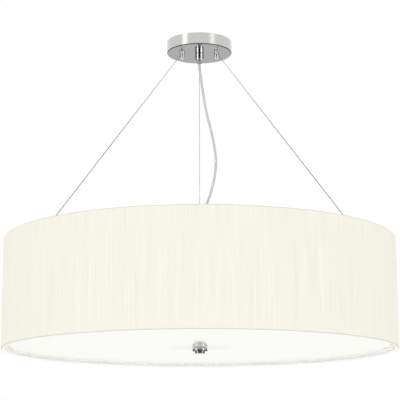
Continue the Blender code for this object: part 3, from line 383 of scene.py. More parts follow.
def cup_chrome_painted_reflections():
    """The canopy's chrome with painted reflections: by which way the surface faces, its rolled edge is
    painted near black and its underside a bluish grey, as the reflections of dark and grey surroundings.
    """
    made, tree, shader = new_material("canopy_chrome_painted_reflections")
    down = maths(tree, "MULTIPLY", facing_up(tree), -1.0)
    # painted reflections: the wall keeps the chrome's own tone, while the near black edge and the bluish
    # grey underside stand for what they reflect
    wall, edge, under = (0.575, 0.583, 0.55), (0.06, 0.06, 0.06), (0.308, 0.306, 0.326)
    colours = ramped(tree, down, ((0.10, wall), (0.24, edge), (0.90, edge), (0.985, under)))
    fine = noise(tree, placed(tree), 160.0, 5.0, 0.6)
    streaks = noise(tree, placed(tree, (6.0, 6.0, 900.0)), 1.0, 3.0, 0.6)
    polished(tree, shader, colours, spread(tree, streaks, 0.97, 1.03), 0.10, fine)
    return made


def knob_chrome_painted_shading():
    """The finial's chrome with painted reflections: grey lobes painted darker on their crests and low down,
    a painted white highlight in the hollows between them, and a lighter underside.
    """
    made, tree, shader = new_material("finial_chrome_painted_shading")
    vector = placed(tree)
    across, along, up = axes(tree, vector)
    angle = maths(tree, "ADD", maths(tree, "ARCTAN2", along, across), math.pi / 2)
    crest = maths(tree, "COSINE", maths(tree, "MULTIPLY", angle, float(FINIAL_LOBES)))
    share = spread(tree, crest, 0.0, 1.0, -1.0, 1.0)
    # painted reflections round the lobes: a white highlight in the hollows, grey flanks and darker crests
    painted_hollow_highlight, painted_flank_shade, front = (0.98, 0.98, 0.96), (0.44, 0.435, 0.40), (0.34, 0.335, 0.29)
    colours = ramped(tree, share, ((0.03, painted_hollow_highlight), (0.17, painted_flank_shade), (1.0, front)))
    # painted shade: the chrome darkens below a height, except for the painted highlight in the hollows and
    # the lighter underside
    height = spread(tree, up, 0.0, 1.0, FINIAL_PAINTED_SHADE_Z - FINIAL_PAINTED_SHADE_FADE,
                    FINIAL_PAINTED_SHADE_Z + FINIAL_PAINTED_SHADE_FADE)
    painted_highlight_in_hollows = spread(tree, share, 0.75, 0.14, 0.03, 0.17)
    underside = spread(tree, facing_up(tree), 0.9, 0.0, -0.97, -0.85)
    tone = maths(tree, "MAXIMUM", maths(tree, "MAXIMUM", height, painted_highlight_in_hollows), underside)
    polished(tree, shader, colours, tone, 0.08, noise(tree, vector, 160.0, 5.0, 0.6))
    return made


def slub_fabric(name, dark, light):
    """Ivory cloth of fine upright threads with slubs, by the cloth's own metres round and up."""
    made, tree, shader = new_material(name)
    threads = noise(tree, placed(tree, (1500.0, 9.0, 1.0), "UV"), 1.0, 3.0, 0.6)
    slubs = noise(tree, placed(tree, (330.0, 5.0, 1.0), "UV"), 1.0, 4.0, 0.65)
    bands = noise(tree, placed(tree, (70.0, 0.8, 1.0), "UV"), 1.0, 2.0, 0.5)
    weft = noise(tree, placed(tree, (30.0, 2600.0, 1.0), "UV"), 1.0, 2.0, 0.5)
    streaks = weighted(tree, (threads, 0.24), (slubs, 0.60), (bands, 0.16))
    colours = tinted(tree, spread(tree, streaks, 0.0, 1.0, 0.39, 0.61), dark, light)
    wired(shader, Base_Color=colours, Roughness=0.78, Specular_IOR_Level=0.30)
    raised(tree, shader, weighted(tree, (threads, 0.5), (slubs, 0.6), (weft, 0.15)), 0.00016, 0.7)
    return made


def stranded_steel(name, stops):
    """Fine steel rope: strands that wind round it, and a painted reflection in its tone, which follows stops
    down its length.
    """
    made, tree, shader = new_material(name)
    around, down, _ = axes(tree, placed(tree, source="UV"))
    turns = weighted(tree, (around, 1300.0), (down, 620.0))
    strands = maths(tree, "SINE", maths(tree, "MULTIPLY", turns, FULL_TURN))
    colours = ramped(tree, spread(tree, down, 0.0, 1.0, 0.0, WIRE_LENGTH), stops)
    polished(tree, shader, colours, spread(tree, strands, 0.85, 1.15, -1.0, 1.0), 0.34,
             spread(tree, strands, 0.0, 1.0, -1.0, 1.0))
    return made


def threaded_steel():
    """Zinc-plated steel rod with its rolled thread, by the height along it, its grooves painted darker as
    shade and its crests lighter.
    """
    made, tree, shader = new_material("threaded_steel")
    turns = maths(tree, "MULTIPLY", axes(tree, placed(tree))[2], FULL_TURN / ROD_THREAD_PITCH)
    thread_height_and_painted_shade = spread(tree, maths(tree, "SINE", turns), 0.0, 1.0, -1.0, 1.0)
    # painted shade: the tint follows the thread, darker in its grooves and lighter on its crests
    wired(shader, Base_Color=tinted(tree, thread_height_and_painted_shade, (0.34, 0.345, 0.35), (0.58, 0.585, 0.59)),
          Metallic=1.0, Roughness=0.34)
    raised(tree, shader, thread_height_and_painted_shade, 0.0003)
    return made


def opal_acrylic():
    """Glossy opal sheet with a painted shadow: a little darker in the middle, where the wiring box above
    casts its shadow through it.
    """
    made, tree, shader = new_material("opal_acrylic")
    flat = placed(tree, (1.0, 1.0, 0.0))
    # painted shadow of the wiring box: darkest within 50 mm of the middle, gone by 85 mm
    outside_painted_shadow = spread(tree, length_of(tree, flat), 0.0, 1.0, 0.050, 0.085)
    clouds = spread(tree, noise(tree, flat, 4.0, 2.0), 0.85, 1.0)
    colours = tinted(tree, maths(tree, "MULTIPLY", outside_painted_shadow, clouds), (0.80, 0.805, 0.74),
                     (0.920, 0.930, 0.840))
    wired(shader, Base_Color=colours, Roughness=0.09, IOR=1.49)
    raised(tree, shader, noise(tree, placed(tree), 9.0, 1.0), 0.0002, 0.3)
    return made


CHROME = metal("polished_chrome", (0.60, 0.60, 0.585), 0.09)
CUP_CHROME_PAINTED_REFLECTIONS = cup_chrome_painted_reflections()
KNOB_CHROME_PAINTED_SHADING = knob_chrome_painted_shading()
# painted reflection: the collet's chrome is made darker than the rest, as the dark reflection it shows
COLLET_CHROME_PAINTED_DARK = metal("collet_chrome_painted_dark", (0.32, 0.32, 0.31), 0.12)
# painted light: the washer's chrome is made much lighter than the rest, to lift the shade under the finial
WASHER_CHROME_PAINTED_LIGHT = metal("washer_chrome_painted_light", (0.90, 0.90, 0.88), 0.10)
ZINC = metal("zinc_plate", (0.52, 0.53, 0.55), 0.36, 420.0, 0.07, 0.06, 0.00002)
BRASS = metal("brass", (0.72, 0.54, 0.27), 0.25, 300.0, 0.04, 0.04)
# painted reflections: the rear rope stays light, and the side ropes are painted darker further down their
# length
REAR_ROPE = stranded_steel("rear_rope_painted_reflection", ((0.0, (0.46, 0.46, 0.49)), (1.0, (0.40, 0.40, 0.43))))
SIDE_ROPE = stranded_steel("side_rope_painted_reflection", (
    (0.0, (0.46, 0.46, 0.49)), (0.22, (0.30, 0.30, 0.32)), (0.55, (0.10, 0.10, 0.10)),
    (1.0, (0.085, 0.085, 0.085))))
THREAD = threaded_steel()
ENAMEL = moulded("white_enamel", (0.86, 0.86, 0.84), 0.28, grain=700.0, coat=0.2)
# painted light: the bottom ring and its tabs get a lighter copy of the white enamel, as light in the gap
# round the diffuser
RING_ENAMEL_PAINTED_LIGHT = moulded("ring_enamel_painted_light", (0.975, 0.975, 0.965), 0.4, grain=700.0, tone=0.004)
PLASTIC = moulded("white_plastic", (0.84, 0.84, 0.81), 0.42)
SHEATH = moulded("flex_sheath", (0.60, 0.605, 0.575), 0.5, grain=60.0, tone=0.004, depth=0.000001)
LINING = moulded("shade_lining", (0.86, 0.86, 0.84), 0.33, grain=240.0, depth=0.00002)
TAPE = moulded("edge_tape", (0.985, 0.985, 0.975), 0.5, tone=0.004, depth=0.00001)
GLASS = moulded("opal_glass", (0.92, 0.92, 0.90), 0.12, grain=40.0, depth=0.000004, coat=0.4)
FABRIC = slub_fabric("slub_fabric", (0.836, 0.820, 0.700), (0.906, 0.892, 0.792))
# painted shade: a darker copy of the cloth for its rolled edges
ROLL_FABRIC_PAINTED_SHADE = slub_fabric("roll_fabric_painted_shade", (0.66, 0.66, 0.58), (0.73, 0.73, 0.64))
OPAL = opal_acrylic()


# Shapes

def new_object(name, data):
    """A new object in the scene, with its data under the same name."""
    data.name = name
    made = bpy.data.objects.new(name, data)
    bpy.context.scene.collection.objects.link(made)
    return made


def finished(form, place=None):
    """The mesh of a form that is done, carried to its place."""
    if place is not None:
        form.transform(place)
    mesh = bpy.data.meshes.new("form")
    form.to_mesh(mesh)
    form.free()
    return mesh


def piece(name, stands_for, finish, mesh):
    """Show a mesh in place of a CAD node, on the node's body."""
    mesh.shade_smooth()
    mesh.set_sharp_from_angle(angle=math.radians(SHARP_DEGREES))
    mesh.materials.append(finish)
    thing = new_object(name, mesh)
    even = thing.modifiers.new("even_normals", "WEIGHTED_NORMAL")
    even.keep_sharp = True
    body, slot = BODIES[stands_for], SLOTS[stands_for]
    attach(thing, body)
    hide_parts(stands_for)
    return thing


def filleted(corners, steps=ARC_STEPS):
    """Outline points from corners, (radius, height) or (radius, height, fillet), with arcs."""
    points = []
    for number, (radius, height, *edge) in enumerate(corners):
        here = Vector((radius, height))
        fillet = edge[0] if edge else 0.0
        if fillet <= 0.0:
            points.append(here)
            continue
        back = (Vector(corners[number - 1][:2]) - here).normalized()
        ahead = (Vector(corners[(number + 1) % len(corners)][:2]) - here).normalized()
        half = math.acos(max(-1.0, min(1.0, back.dot(ahead)))) / 2
        centre = here + (back + ahead).normalized() * (fillet / math.sin(half))
        start = here + back * (fillet / math.tan(half)) - centre
        end = here + ahead * (fillet / math.tan(half)) - centre
        turn = math.atan2(start.x * end.y - start.y * end.x, start.dot(end))
        for step in range(steps + 1):
            angle = turn * step / steps
            points.append(centre + Vector((start.x * math.cos(angle) - start.y * math.sin(angle),
                                           start.x * math.sin(angle) + start.y * math.cos(angle))))
    return points


def even_turns(segments):
    """Angles at an even step round a full turn."""
    return [FULL_TURN * number / segments for number in range(segments)]


def lengths_along(points):
    """How far each point lies along the line through them."""
    along = [0.0]
    for first, second in zip(points, points[1:]):
        along.append(along[-1] + (Vector(second) - Vector(first)).length)
    return along


def swept(outline, segments, place=None, reach=None, turns=None):
    """The mesh that a (radius, height) outline sweeps round Z, with a UV map in metres.

    An outline either starts and ends on the axis or closes on itself. reach(radius, height, angle)
    may change a point's radius with the angle, turns may give the angles, and place carries the
    finished form to where it goes.
    """
    turns = turns or even_turns(segments)
    form = bmesh.new()
    metres = form.loops.layers.uv.new("metres")
    widest = max(point[0] for point in outline)
    along = lengths_along(outline)
    rings = []
    for radius, height in outline:
        ring = []
        on_axis = radius < TOUCH / 1000
        for angle in turns[:1] if on_axis else turns:
            actual = reach(radius, height, angle) if reach and not on_axis else radius
            ring.append(form.verts.new((actual * math.cos(angle), actual * math.sin(angle), height)))
        rings.append(ring)
    pairs = list(zip(range(len(rings) - 1), range(1, len(rings))))
    if len(rings[0]) > 1:
        pairs.append((len(rings) - 1, 0))
    for low, high in pairs:
        end = along[low] + TOUCH if high == 0 else along[high]
        for number, angle in enumerate(turns):
            after = turns[number + 1] if number + 1 < len(turns) else turns[0] + FULL_TURN
            corners = {}
            for ring, index, turn, height in ((rings[low], number, angle, along[low]),
                                              (rings[low], number + 1, after, along[low]),
                                              (rings[high], number + 1, after, end),
                                              (rings[high], number, angle, end)):
                corners.setdefault(ring[index % len(ring)], (widest * turn, height))
            face = form.faces.new(list(corners))
            for loop, spot in zip(face.loops, corners.values()):
                loop[metres].uv = spot
    bmesh.ops.recalc_face_normals(form, faces=form.faces)
    return finished(form, place)


def turned(name, stands_for, finish, corners, segments=SMALL_SEGMENTS, steps=ARC_STEPS, **sweep):
    """A round piece, from its outline's corners."""
    return piece(name, stands_for, finish, swept(filleted(corners, steps), segments, **sweep))


def disc(inner, outer, bottom, top, hole_edge, rim_edge):
    """The corners of a flat disc with a hole."""
    return [(inner, bottom, hole_edge), (outer, bottom, rim_edge), (outer, top, rim_edge),
            (inner, top, hole_edge)]


def carved(mesh, others, operation="DIFFERENCE"):
    """A mesh with other meshes cut out of it, or added to it with UNION."""
    body = new_object("carving", mesh)
    helpers = [body]
    for other in others:
        helper = new_object("carver", other)
        helpers.append(helper)
        cut = body.modifiers.new("carve", "BOOLEAN")
        cut.operation = operation
        cut.object = helper
    graph = bpy.context.evaluated_depsgraph_get()
    result = bpy.data.meshes.new_from_object(body.evaluated_get(graph), depsgraph=graph)
    for helper in helpers:
        spent = helper.data
        bpy.data.objects.remove(helper)
        bpy.data.meshes.remove(spent)
    return result


def pin(radius, low, high, place):
    """A plain round pin along Z, carried to its place."""
    outline = [(0.0, low), (radius, low), (radius, high), (0.0, high)]
    return swept(outline, SMALL_SEGMENTS, place)


def joined(*meshes):
    """One mesh that holds several."""
    form = bmesh.new()
    for mesh in meshes:
        form.from_mesh(mesh)
        bpy.data.meshes.remove(mesh)
    return finished(form)


def block(size, centre, edge, place):
    """A box with rounded edges."""
    form = bmesh.new()
    bmesh.ops.create_cube(form, size=1.0)
    bmesh.ops.scale(form, verts=form.verts, vec=size)
    bmesh.ops.bevel(form, geom=form.edges[:], offset=edge, segments=3, profile=0.5, affect="EDGES")
    bmesh.ops.translate(form, verts=form.verts, vec=centre)
    return finished(form, place)


def smooth_path(points, step):
    """Points at an even step along a smooth curve through the given points."""
    ends = [points[0] * 2 - points[1]] + points + [points[-1] * 2 - points[-2]]
    fine = []
    for before, start, end, after in zip(ends, ends[1:], ends[2:], ends[3:]):
        for part in range(SMALL_SEGMENTS):
            share = part / SMALL_SEGMENTS
            pull = (end - before) * share + (before * 2 - start * 5 + end * 4 - after) * share ** 2
            bend = (start * 3 - before - end * 3 + after) * share ** 3
            fine.append((start * 2 + pull + bend) / 2)
    fine.append(points[-1])
    reach = lengths_along(fine)
    count = max(2, round(reach[-1] / step))
    path = []
    place = 0
    for number in range(count + 1):
        wanted = reach[-1] * number / count
        while place < len(fine) - 2 and reach[place + 1] < wanted:
            place += 1
        share = (wanted - reach[place]) / (reach[place + 1] - reach[place])
        path.append(fine[place].lerp(fine[place + 1], share))
    return path


def tube(path, radius, sides=CORD_SIDES):
    """A round tube along a path, with closed ends and a UV map in metres."""
    form = bmesh.new()
    metres = form.loops.layers.uv.new("metres")
    along = lengths_along(path)
    heading = (path[1] - path[0]).normalized()
    side = heading.orthogonal().normalized()
    rings = []
    for number, point in enumerate(path):
        ahead = path[min(number + 1, len(path) - 1)] - path[max(number - 1, 0)]
        ahead.normalize()
        side = heading.rotation_difference(ahead) @ side
        heading = ahead
        other = heading.cross(side)
        rings.append([form.verts.new(point + (side * math.cos(angle) + other * math.sin(angle)) * radius)
                      for angle in even_turns(sides)])
    for number in range(len(rings) - 1):
        for step in range(sides):
            after = (step + 1) % sides
            face = form.faces.new((rings[number][step], rings[number][after],
                                   rings[number + 1][after], rings[number + 1][step]))
            places = ((step, number), (step + 1, number), (step + 1, number + 1), (step, number + 1))
            for loop, (turn, row) in zip(face.loops, places):
                loop[metres].uv = (FULL_TURN * radius * turn / sides, along[row])
    form.faces.new(rings[0])
    form.faces.new(rings[-1])
    bmesh.ops.recalc_face_normals(form, faces=form.faces)
    return finished(form)


def polar(radius, azimuth, height=0.0):
    """A point by its distance from the middle and its azimuth in degrees."""
    turn = math.radians(azimuth)
    return Vector((radius * math.cos(turn), radius * math.sin(turn), height))


def turned_to(azimuth):
    """The turn about Z that carries +X to an azimuth in degrees."""
    return Matrix.Rotation(math.radians(azimuth), 4, "Z")


def lying(azimuth):
    """The move that lays an upright form outward at the lamps' height, along an azimuth."""
    return Matrix.Translation((0.0, 0.0, LAMP_Z)) @ turned_to(azimuth) @ Matrix.Rotation(
        math.pi / 2, 4, "Y")


def measured(name):
    """The move that carries a form on the axis to a round node, and its radius, bottom and top."""
    low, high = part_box(name)
    middle = (low + high) / 2
    return Matrix.Translation((middle.x, middle.y, 0.0)), (high.x - low.x) / 2, low.z, high.z


# Camera

def set_camera():
    """The photograph's view of the light, from below its shade."""
    data = bpy.data.cameras.new("camera")
    data.sensor_width = SENSOR_WIDTH
    data.lens = FOCAL_PIXELS * SENSOR_WIDTH / IMAGE_PIXELS
    camera = new_object("camera", data)
    tilt = Matrix.Rotation(math.radians(90.0 + TILT_UP_DEGREES), 4, "X")
    roll = Matrix.Rotation(math.radians(ROLL_DEGREES), 4, "Z")
    camera.matrix_world = Matrix.Translation(EYE) @ tilt @ roll
    bpy.context.scene.camera = camera


# Cords


def make_flex():
    """The flex between the canopy's cord grip and the hub's, slack to one side."""
    start = Vector((0.0, 0.0, FLEX_START_Z))
    end = Vector((0.0, 0.0, FLEX_END_Z))
    knots = [start] + [Vector((x, 0.0, z)) for x, z in FLEX_ROUTE] + [end]
    path = smooth_path(knots, FLEX_DIAMETER / 2)
    flex = piece("flex", "flex_cord", SHEATH, tube(path, FLEX_DIAMETER / 2))
    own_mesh(flex)


def make_wires():
    """The three steel ropes that carry the shade, pulled straight by its weight."""
    for number, azimuth in enumerate(WIRE_AZIMUTHS, 1):
        start = polar(WIRE_START[0], azimuth, WIRE_START[1])
        end = polar(WIRE_END[0], azimuth, WIRE_END[1])
        path = [start.lerp(end, step / SMALL_SEGMENTS) for step in range(SMALL_SEGMENTS + 1)]
        rope = piece(f"wire_rope_{number}", f"suspension_wire_{number}",
                     REAR_ROPE if number == 1 else SIDE_ROPE,
                     tube(path, WIRE_DIAMETER / 2, WIRE_SIDES))
        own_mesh(rope)


# Canopy

def make_canopy():
    """The polished cup that covers the ceiling bracket, with its six holes."""
    _, radius, bottom, top = measured("ceiling_canopy")
    inner = radius - CANOPY_WALL
    cup = swept(filleted([
        (CORD_HOLE_RADIUS, bottom), (radius, bottom, CANOPY_EDGE),
        (radius, top, CANOPY_WALL / 3), (inner, top, CANOPY_WALL / 3),
        (inner, bottom + CANOPY_WALL, CANOPY_EDGE - CANOPY_WALL),
        (CORD_HOLE_RADIUS, bottom + CANOPY_WALL),
    ]), ROUND_SEGMENTS * 2)
    holes = [("cap_nut_left", STUD_HOLE_RADIUS), ("cap_nut_right", STUD_HOLE_RADIUS)]
    for number in range(1, len(WIRE_AZIMUTHS) + 1):
        holes.append((f"wire_grip_nut_{number}", NECK_HOLE_RADIUS))
    cutters = [pin(hole, bottom - CANOPY_WALL, bottom + 2 * CANOPY_WALL, measured(name)[0])
               for name, hole in holes]
    piece("canopy_cup", "ceiling_canopy", CUP_CHROME_PAINTED_REFLECTIONS, carved(cup, cutters))


def make_cap_nuts():
    """The two domed nuts that hold the canopy up on its studs."""
    for side in ("left", "right"):
        place, radius, bottom, top = measured(f"cap_nut_{side}")
        neck = radius * CAP_NECK_SHARE
        turned(f"acorn_nut_{side}", f"cap_nut_{side}", CHROME, [
            (0.0, bottom), (radius * CAP_CROWN_SHARE, bottom, CAP_DOME_EDGE),
            (neck, bottom + CAP_DOME_HEIGHT, CAP_DOME_EDGE),
            (neck, top - CAP_FLARE - CAP_GROOVE, 0.0002),
            (neck - CAP_GROOVE, top - CAP_FLARE), (radius, top - CAP_FLARE, 0.0004),
            (radius, top, 0.0002), (0.0, top),
        ], place=place)


def make_cord_grip():
    """The grip that the flex comes out of, and its collet."""
    _, radius, bottom, top = measured("cord_grip_body")
    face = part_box("ceiling_canopy")[0].z - TOUCH
    lip, floor_low, floor_high, rim = [bottom + height for height in GRIP_GROOVE_HEIGHTS]
    groove = radius - GRIP_GROOVE_DEPTH
    turned("canopy_gland", "cord_grip_body", CHROME, [
        (CORD_RADIUS, bottom), (radius, bottom, 0.0008), (radius, lip, 0.0003),
        (groove, floor_low, 0.0002), (groove, floor_high, 0.0002), (radius, rim, 0.0003),
        (radius, face, 0.0004), (GRIP_NECK_RADIUS, face), (GRIP_NECK_RADIUS, top, 0.0005),
        (CORD_RADIUS, top),
    ], ROUND_SEGMENTS)
    _, radius, bottom, top = measured("cord_grip_collet")
    inner = CORD_RADIUS - TOUCH / 2
    turned("gland_collet", "cord_grip_collet", COLLET_CHROME_PAINTED_DARK, [
        (inner, bottom, 0.0004), (COLLET_MOUTH_RADIUS, bottom, 0.0006),
        (radius, top - COLLET_BAND, 0.0006), (radius, top, 0.0002), (inner, top),
    ])


def make_wire_grips():
    """Each wire's grip in the canopy, the round nut under it and its sprung release nipple."""
    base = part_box("ceiling_canopy")[0].z + CANOPY_WALL + TOUCH
    nut_bore = WIRE_NECK_RADIUS + TOUCH / 2
    for number in range(1, len(WIRE_AZIMUTHS) + 1):
        place, radius, bottom, top = measured(f"wire_grip_{number}")
        bore_top = measured(f"wire_release_{number}")[3] + RELEASE_ROOM
        turned(f"grip_body_{number}", f"wire_grip_{number}", ZINC, [
            (0.0, bore_top), (RELEASE_BORE_RADIUS, bore_top),
            (RELEASE_BORE_RADIUS, bottom, 0.0002), (WIRE_NECK_RADIUS, bottom, 0.0002),
            (WIRE_NECK_RADIUS, base), (radius, base, 0.0004), (radius, top, 0.0012),
            (0.0, top),
        ], place=place)
        _, radius, bottom, top = measured(f"wire_grip_nut_{number}")
        turned(f"outlet_nut_{number}", f"wire_grip_nut_{number}", CHROME, [
            (nut_bore, bottom, 0.0002), (radius, bottom, 0.0005), (radius, top, 0.0002),
            (nut_bore, top),
        ], place=place)
        _, radius, bottom, top = measured(f"wire_release_{number}")
        shoulder = bottom + RELEASE_HEAD_HEIGHT
        turned(f"release_nipple_{number}", f"wire_release_{number}", CHROME, [
            (0.0, bottom), (radius, bottom, 0.0007), (radius, shoulder, 0.0003),
            (RELEASE_STEM_RADIUS, shoulder), (RELEASE_STEM_RADIUS, top, 0.0003),
            (0.0, top),
        ], place=place)


# Shade

def seam_rise(angle):
    """How far the lapped seam lifts the fabric: a fine step on one side, none on the other."""
    off = (angle - math.radians(SEAM_AZIMUTH)) * SHADE_RADIUS
    return SEAM_STEP * (1.0 + off / SEAM_LAP) if -SEAM_LAP <= off <= 0.0 else 0.0


def seam_reach(radius, height, angle):
    """The fabric's radius, with its lapped seam standing a little proud."""
    outside = radius > SHADE_RADIUS - FABRIC_THICKNESS / 2
    return radius + seam_rise(angle) if outside else radius


def shade_turns():
    """Even angles round the drum, with finer ones at the seam's step."""
    seam = math.radians(SEAM_AZIMUTH)
    step = FABRIC_THICKNESS / SHADE_RADIUS
    lap = SEAM_LAP / SHADE_RADIUS
    turns = [turn for turn in even_turns(DRUM_SEGMENTS) if not seam - lap * 1.1 < turn < seam + lap / 2]
    return sorted(turns + [seam - lap, seam - lap / 2, seam, seam + step])


def cover_finish(centre, bottom, top):
    """Which finish a part of the shade's cover has: cloth, the cloth's darker copy painted as shade on its
    rolled edges, or the tape inside.
    """
    if Vector((centre.x, centre.y)).length < TAPE_RADIUS:
        return 2
    return 1 if centre.z < bottom + ROLL_PAINTED_SHADE_HEIGHT or centre.z > top - ROLL_PAINTED_SHADE_HEIGHT else 0


def make_shade():
    """The fabric, bonded to its stiff liner and rolled over a wire ring at each edge."""
    _, _, bottom, top = measured("shade_fabric")
    flap_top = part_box("spider_arm_1")[1].z + TOUCH
    cloth = FABRIC_THICKNESS
    outer, inner, inside = SHADE_RADIUS, FLAP_INNER_RADIUS, ROLL_EDGE - cloth
    cover = turned("shade_cover", "shade_fabric", FABRIC, [
        (outer, bottom, ROLL_EDGE), (outer, top, ROLL_EDGE), (inner, top, ROLL_EDGE),
        (inner, flap_top), (inner + cloth, flap_top), (inner + cloth, top - cloth, inside),
        (outer - cloth, top - cloth, inside), (outer - cloth, bottom + cloth, inside),
        (inner + cloth, bottom + cloth, inside), (inner + cloth, FLAP_BOTTOM_Z),
        (inner, FLAP_BOTTOM_Z), (inner, bottom, ROLL_EDGE),
    ], DRUM_SEGMENTS, reach=seam_reach, turns=shade_turns())
    # the rolled edges take the darker cloth, painted shade
    cover.data.materials.append(ROLL_FABRIC_PAINTED_SHADE)
    cover.data.materials.append(TAPE)
    for face in cover.data.polygons:
        face.material_index = cover_finish(face.center, bottom, top)
    _, radius, bottom, top = measured("shade_liner")
    inner = radius - LINER_THICKNESS
    piece("shade_lining", "shade_liner", LINING,
          swept([(inner, bottom), (radius, bottom), (radius, top), (inner, top)], DRUM_SEGMENTS))


def ring_mesh(height):
    """A round wire ring."""
    return swept([(RING_RADIUS + RING_WIRE_RADIUS * math.cos(angle),
                   height + RING_WIRE_RADIUS * math.sin(angle))
                  for angle in even_turns(SMALL_SEGMENTS // 3)], DRUM_SEGMENTS)


def tab_mesh(azimuth, top):
    """A flat tab with a round nose, from the ring inward."""
    half = TAB_WIDTH / 2
    form = bmesh.new()
    outline = [(RING_RADIUS, half), (RING_RADIUS, -half)]
    for step in range(ARC_STEPS * 2 + 1):
        turn = -math.pi / 2 - math.pi * step / (ARC_STEPS * 2)
        outline.append((TAB_INNER_RADIUS + half + half * math.cos(turn), half * math.sin(turn)))
    base = form.faces.new([form.verts.new((*point, top)) for point in outline])
    down = bmesh.ops.extrude_face_region(form, geom=[base])["geom"]
    moved = [item for item in down if isinstance(item, bmesh.types.BMVert)]
    bmesh.ops.translate(form, verts=moved, vec=(0.0, 0.0, -TAB_THICKNESS))
    bmesh.ops.recalc_face_normals(form, faces=form.faces)
    return finished(form, turned_to(azimuth))


def make_rings():
    """The wire rings in the shade's edges, the lower one with the diffuser's seven tabs."""
    low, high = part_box("top_ring")
    piece("top_wire", "top_ring", ENAMEL, ring_mesh((low.z + high.z) / 2))
    tab_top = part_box("diffuser")[0].z - TOUCH
    tabs = [tab_mesh(TAB_FIRST_AZIMUTH + 360.0 * number / TAB_COUNT, tab_top)
            for number in range(TAB_COUNT)]
    # the lower ring is painted lighter than the upper one, as light in the gap
    piece("bottom_wire", "bottom_ring", RING_ENAMEL_PAINTED_LIGHT, joined(ring_mesh(BOTTOM_RING_Z), *tabs))


def make_diffuser():
    """The glossy opal disc that rests on the tabs."""
    _, radius, bottom, top = measured("diffuser")
    turned("opal_disc", "diffuser", OPAL, disc(ROD_BORE_RADIUS, radius, bottom, top, 0.0003, 0.0008),
           DRUM_SEGMENTS)


# Spider, wiring box and lamps

def make_hub():
    """The round plate that the arms are screwed to, and the flex's grip on it."""
    low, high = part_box("spider_hub")
    corners = disc(HUB_BORE_RADIUS, high.x, low.z, high.z, 0.0003, 0.0008)
    holes = [pin(ARM_SCREW_HOLE_RADIUS, low.z - TOUCH, high.z + TOUCH,
                 Matrix.Translation(polar(ARM_SCREW_PLACE, azimuth))) for azimuth in WIRE_AZIMUTHS]
    piece("hub_plate", "spider_hub", ENAMEL,
          carved(swept(filleted(corners, 3), ROUND_SEGMENTS), holes))
    _, radius, bottom, top = measured("hub_cord_grip")
    base = high.z + TOUCH

    def fluted(reach, height, angle):
        """Flutes round the grip's body, for the fingers that tighten it."""
        body = reach > radius - TOUCH and base + FLUTE_START < height
        return reach - FLUTE_DEPTH * (0.5 - 0.5 * math.cos(FLUTE_COUNT * angle)) if body else reach

    flange, waist = [base + height for height in GLAND_FLANGE_HEIGHTS]
    turned("hub_gland", "hub_cord_grip", PLASTIC, [
        (CORD_RADIUS, bottom), (GLAND_NECK_RADIUS, bottom, 0.0004),
        (GLAND_NECK_RADIUS, base), (radius, base, 0.0004), (radius, flange),
        (radius, waist), (radius, top - GLAND_CAP_HEIGHT, 0.0020),
        (GLAND_MOUTH_RADIUS, top, 0.0008), (CORD_RADIUS, top, 0.0003),
    ], ROUND_SEGMENTS, reach=fluted)


def make_anchors():
    """Slotted cups on the arms, each holding the ball on the end of its wire."""
    _, radius, bottom, top = measured("wire_anchor_1")
    ball_z = (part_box("wire_ball_1")[0].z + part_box("wire_ball_1")[1].z) / 2

    def ball_mesh(size, place):
        """A ball at the wires' ends."""
        arc = []
        for step in range(SMALL_SEGMENTS // 2 + 1):
            turn = math.pi * (step * 2 / SMALL_SEGMENTS - 0.5)
            arc.append((size * max(0.0, math.cos(turn)), ball_z + size * math.sin(turn)))
        return swept(arc, SMALL_SEGMENTS, place)

    corners = [(0.0, bottom), (radius, bottom, 0.0004), (radius, top, 0.0008), (0.0, top)]
    for number, azimuth in enumerate(WIRE_AZIMUTHS, 1):
        place = turned_to(azimuth) @ Matrix.Translation((ANCHOR_PLACE, 0.0, 0.0))
        slot = block((radius * 2, ANCHOR_SLOT_WIDTH, radius * 2),
                     (-radius, 0.0, ball_z + radius), TOUCH, place)
        cup = swept(filleted(corners), SMALL_SEGMENTS, place)
        piece(f"wire_cup_{number}", f"wire_anchor_{number}", ZINC,
              carved(cup, [ball_mesh(BALL_RADIUS + TOUCH, place), slot]))
        piece(f"wire_end_{number}", f"wire_ball_{number}", ZINC, ball_mesh(BALL_RADIUS, place))


def make_stem():
    """The tube from the hub's grip down to the wiring box, with its coupling and collar."""
    _, coupling, bottom, top = measured("stem_tube")
    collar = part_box("wiring_box_lid")[1].z + TOUCH
    collar_top, sleeve = collar + STEM_COLLAR_HEIGHT, top - STEM_COUPLING_HEIGHT
    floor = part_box("hub_cord_grip")[0].z - TOUCH
    turned("stem", "stem_tube", ENAMEL, [
        (STEM_BORE_RADIUS, bottom), (STEM_RADIUS, bottom, 0.0003), (STEM_RADIUS, collar),
        (coupling, collar, 0.0005), (coupling, collar_top, 0.0008), (STEM_RADIUS, collar_top, 0.0006),
        (STEM_RADIUS, sleeve, 0.0006), (coupling, sleeve, 0.0010), (coupling, top, 0.0005),
        (STEM_SOCKET_RADIUS, top), (STEM_SOCKET_RADIUS, floor),
        (STEM_BORE_RADIUS, floor),
    ])


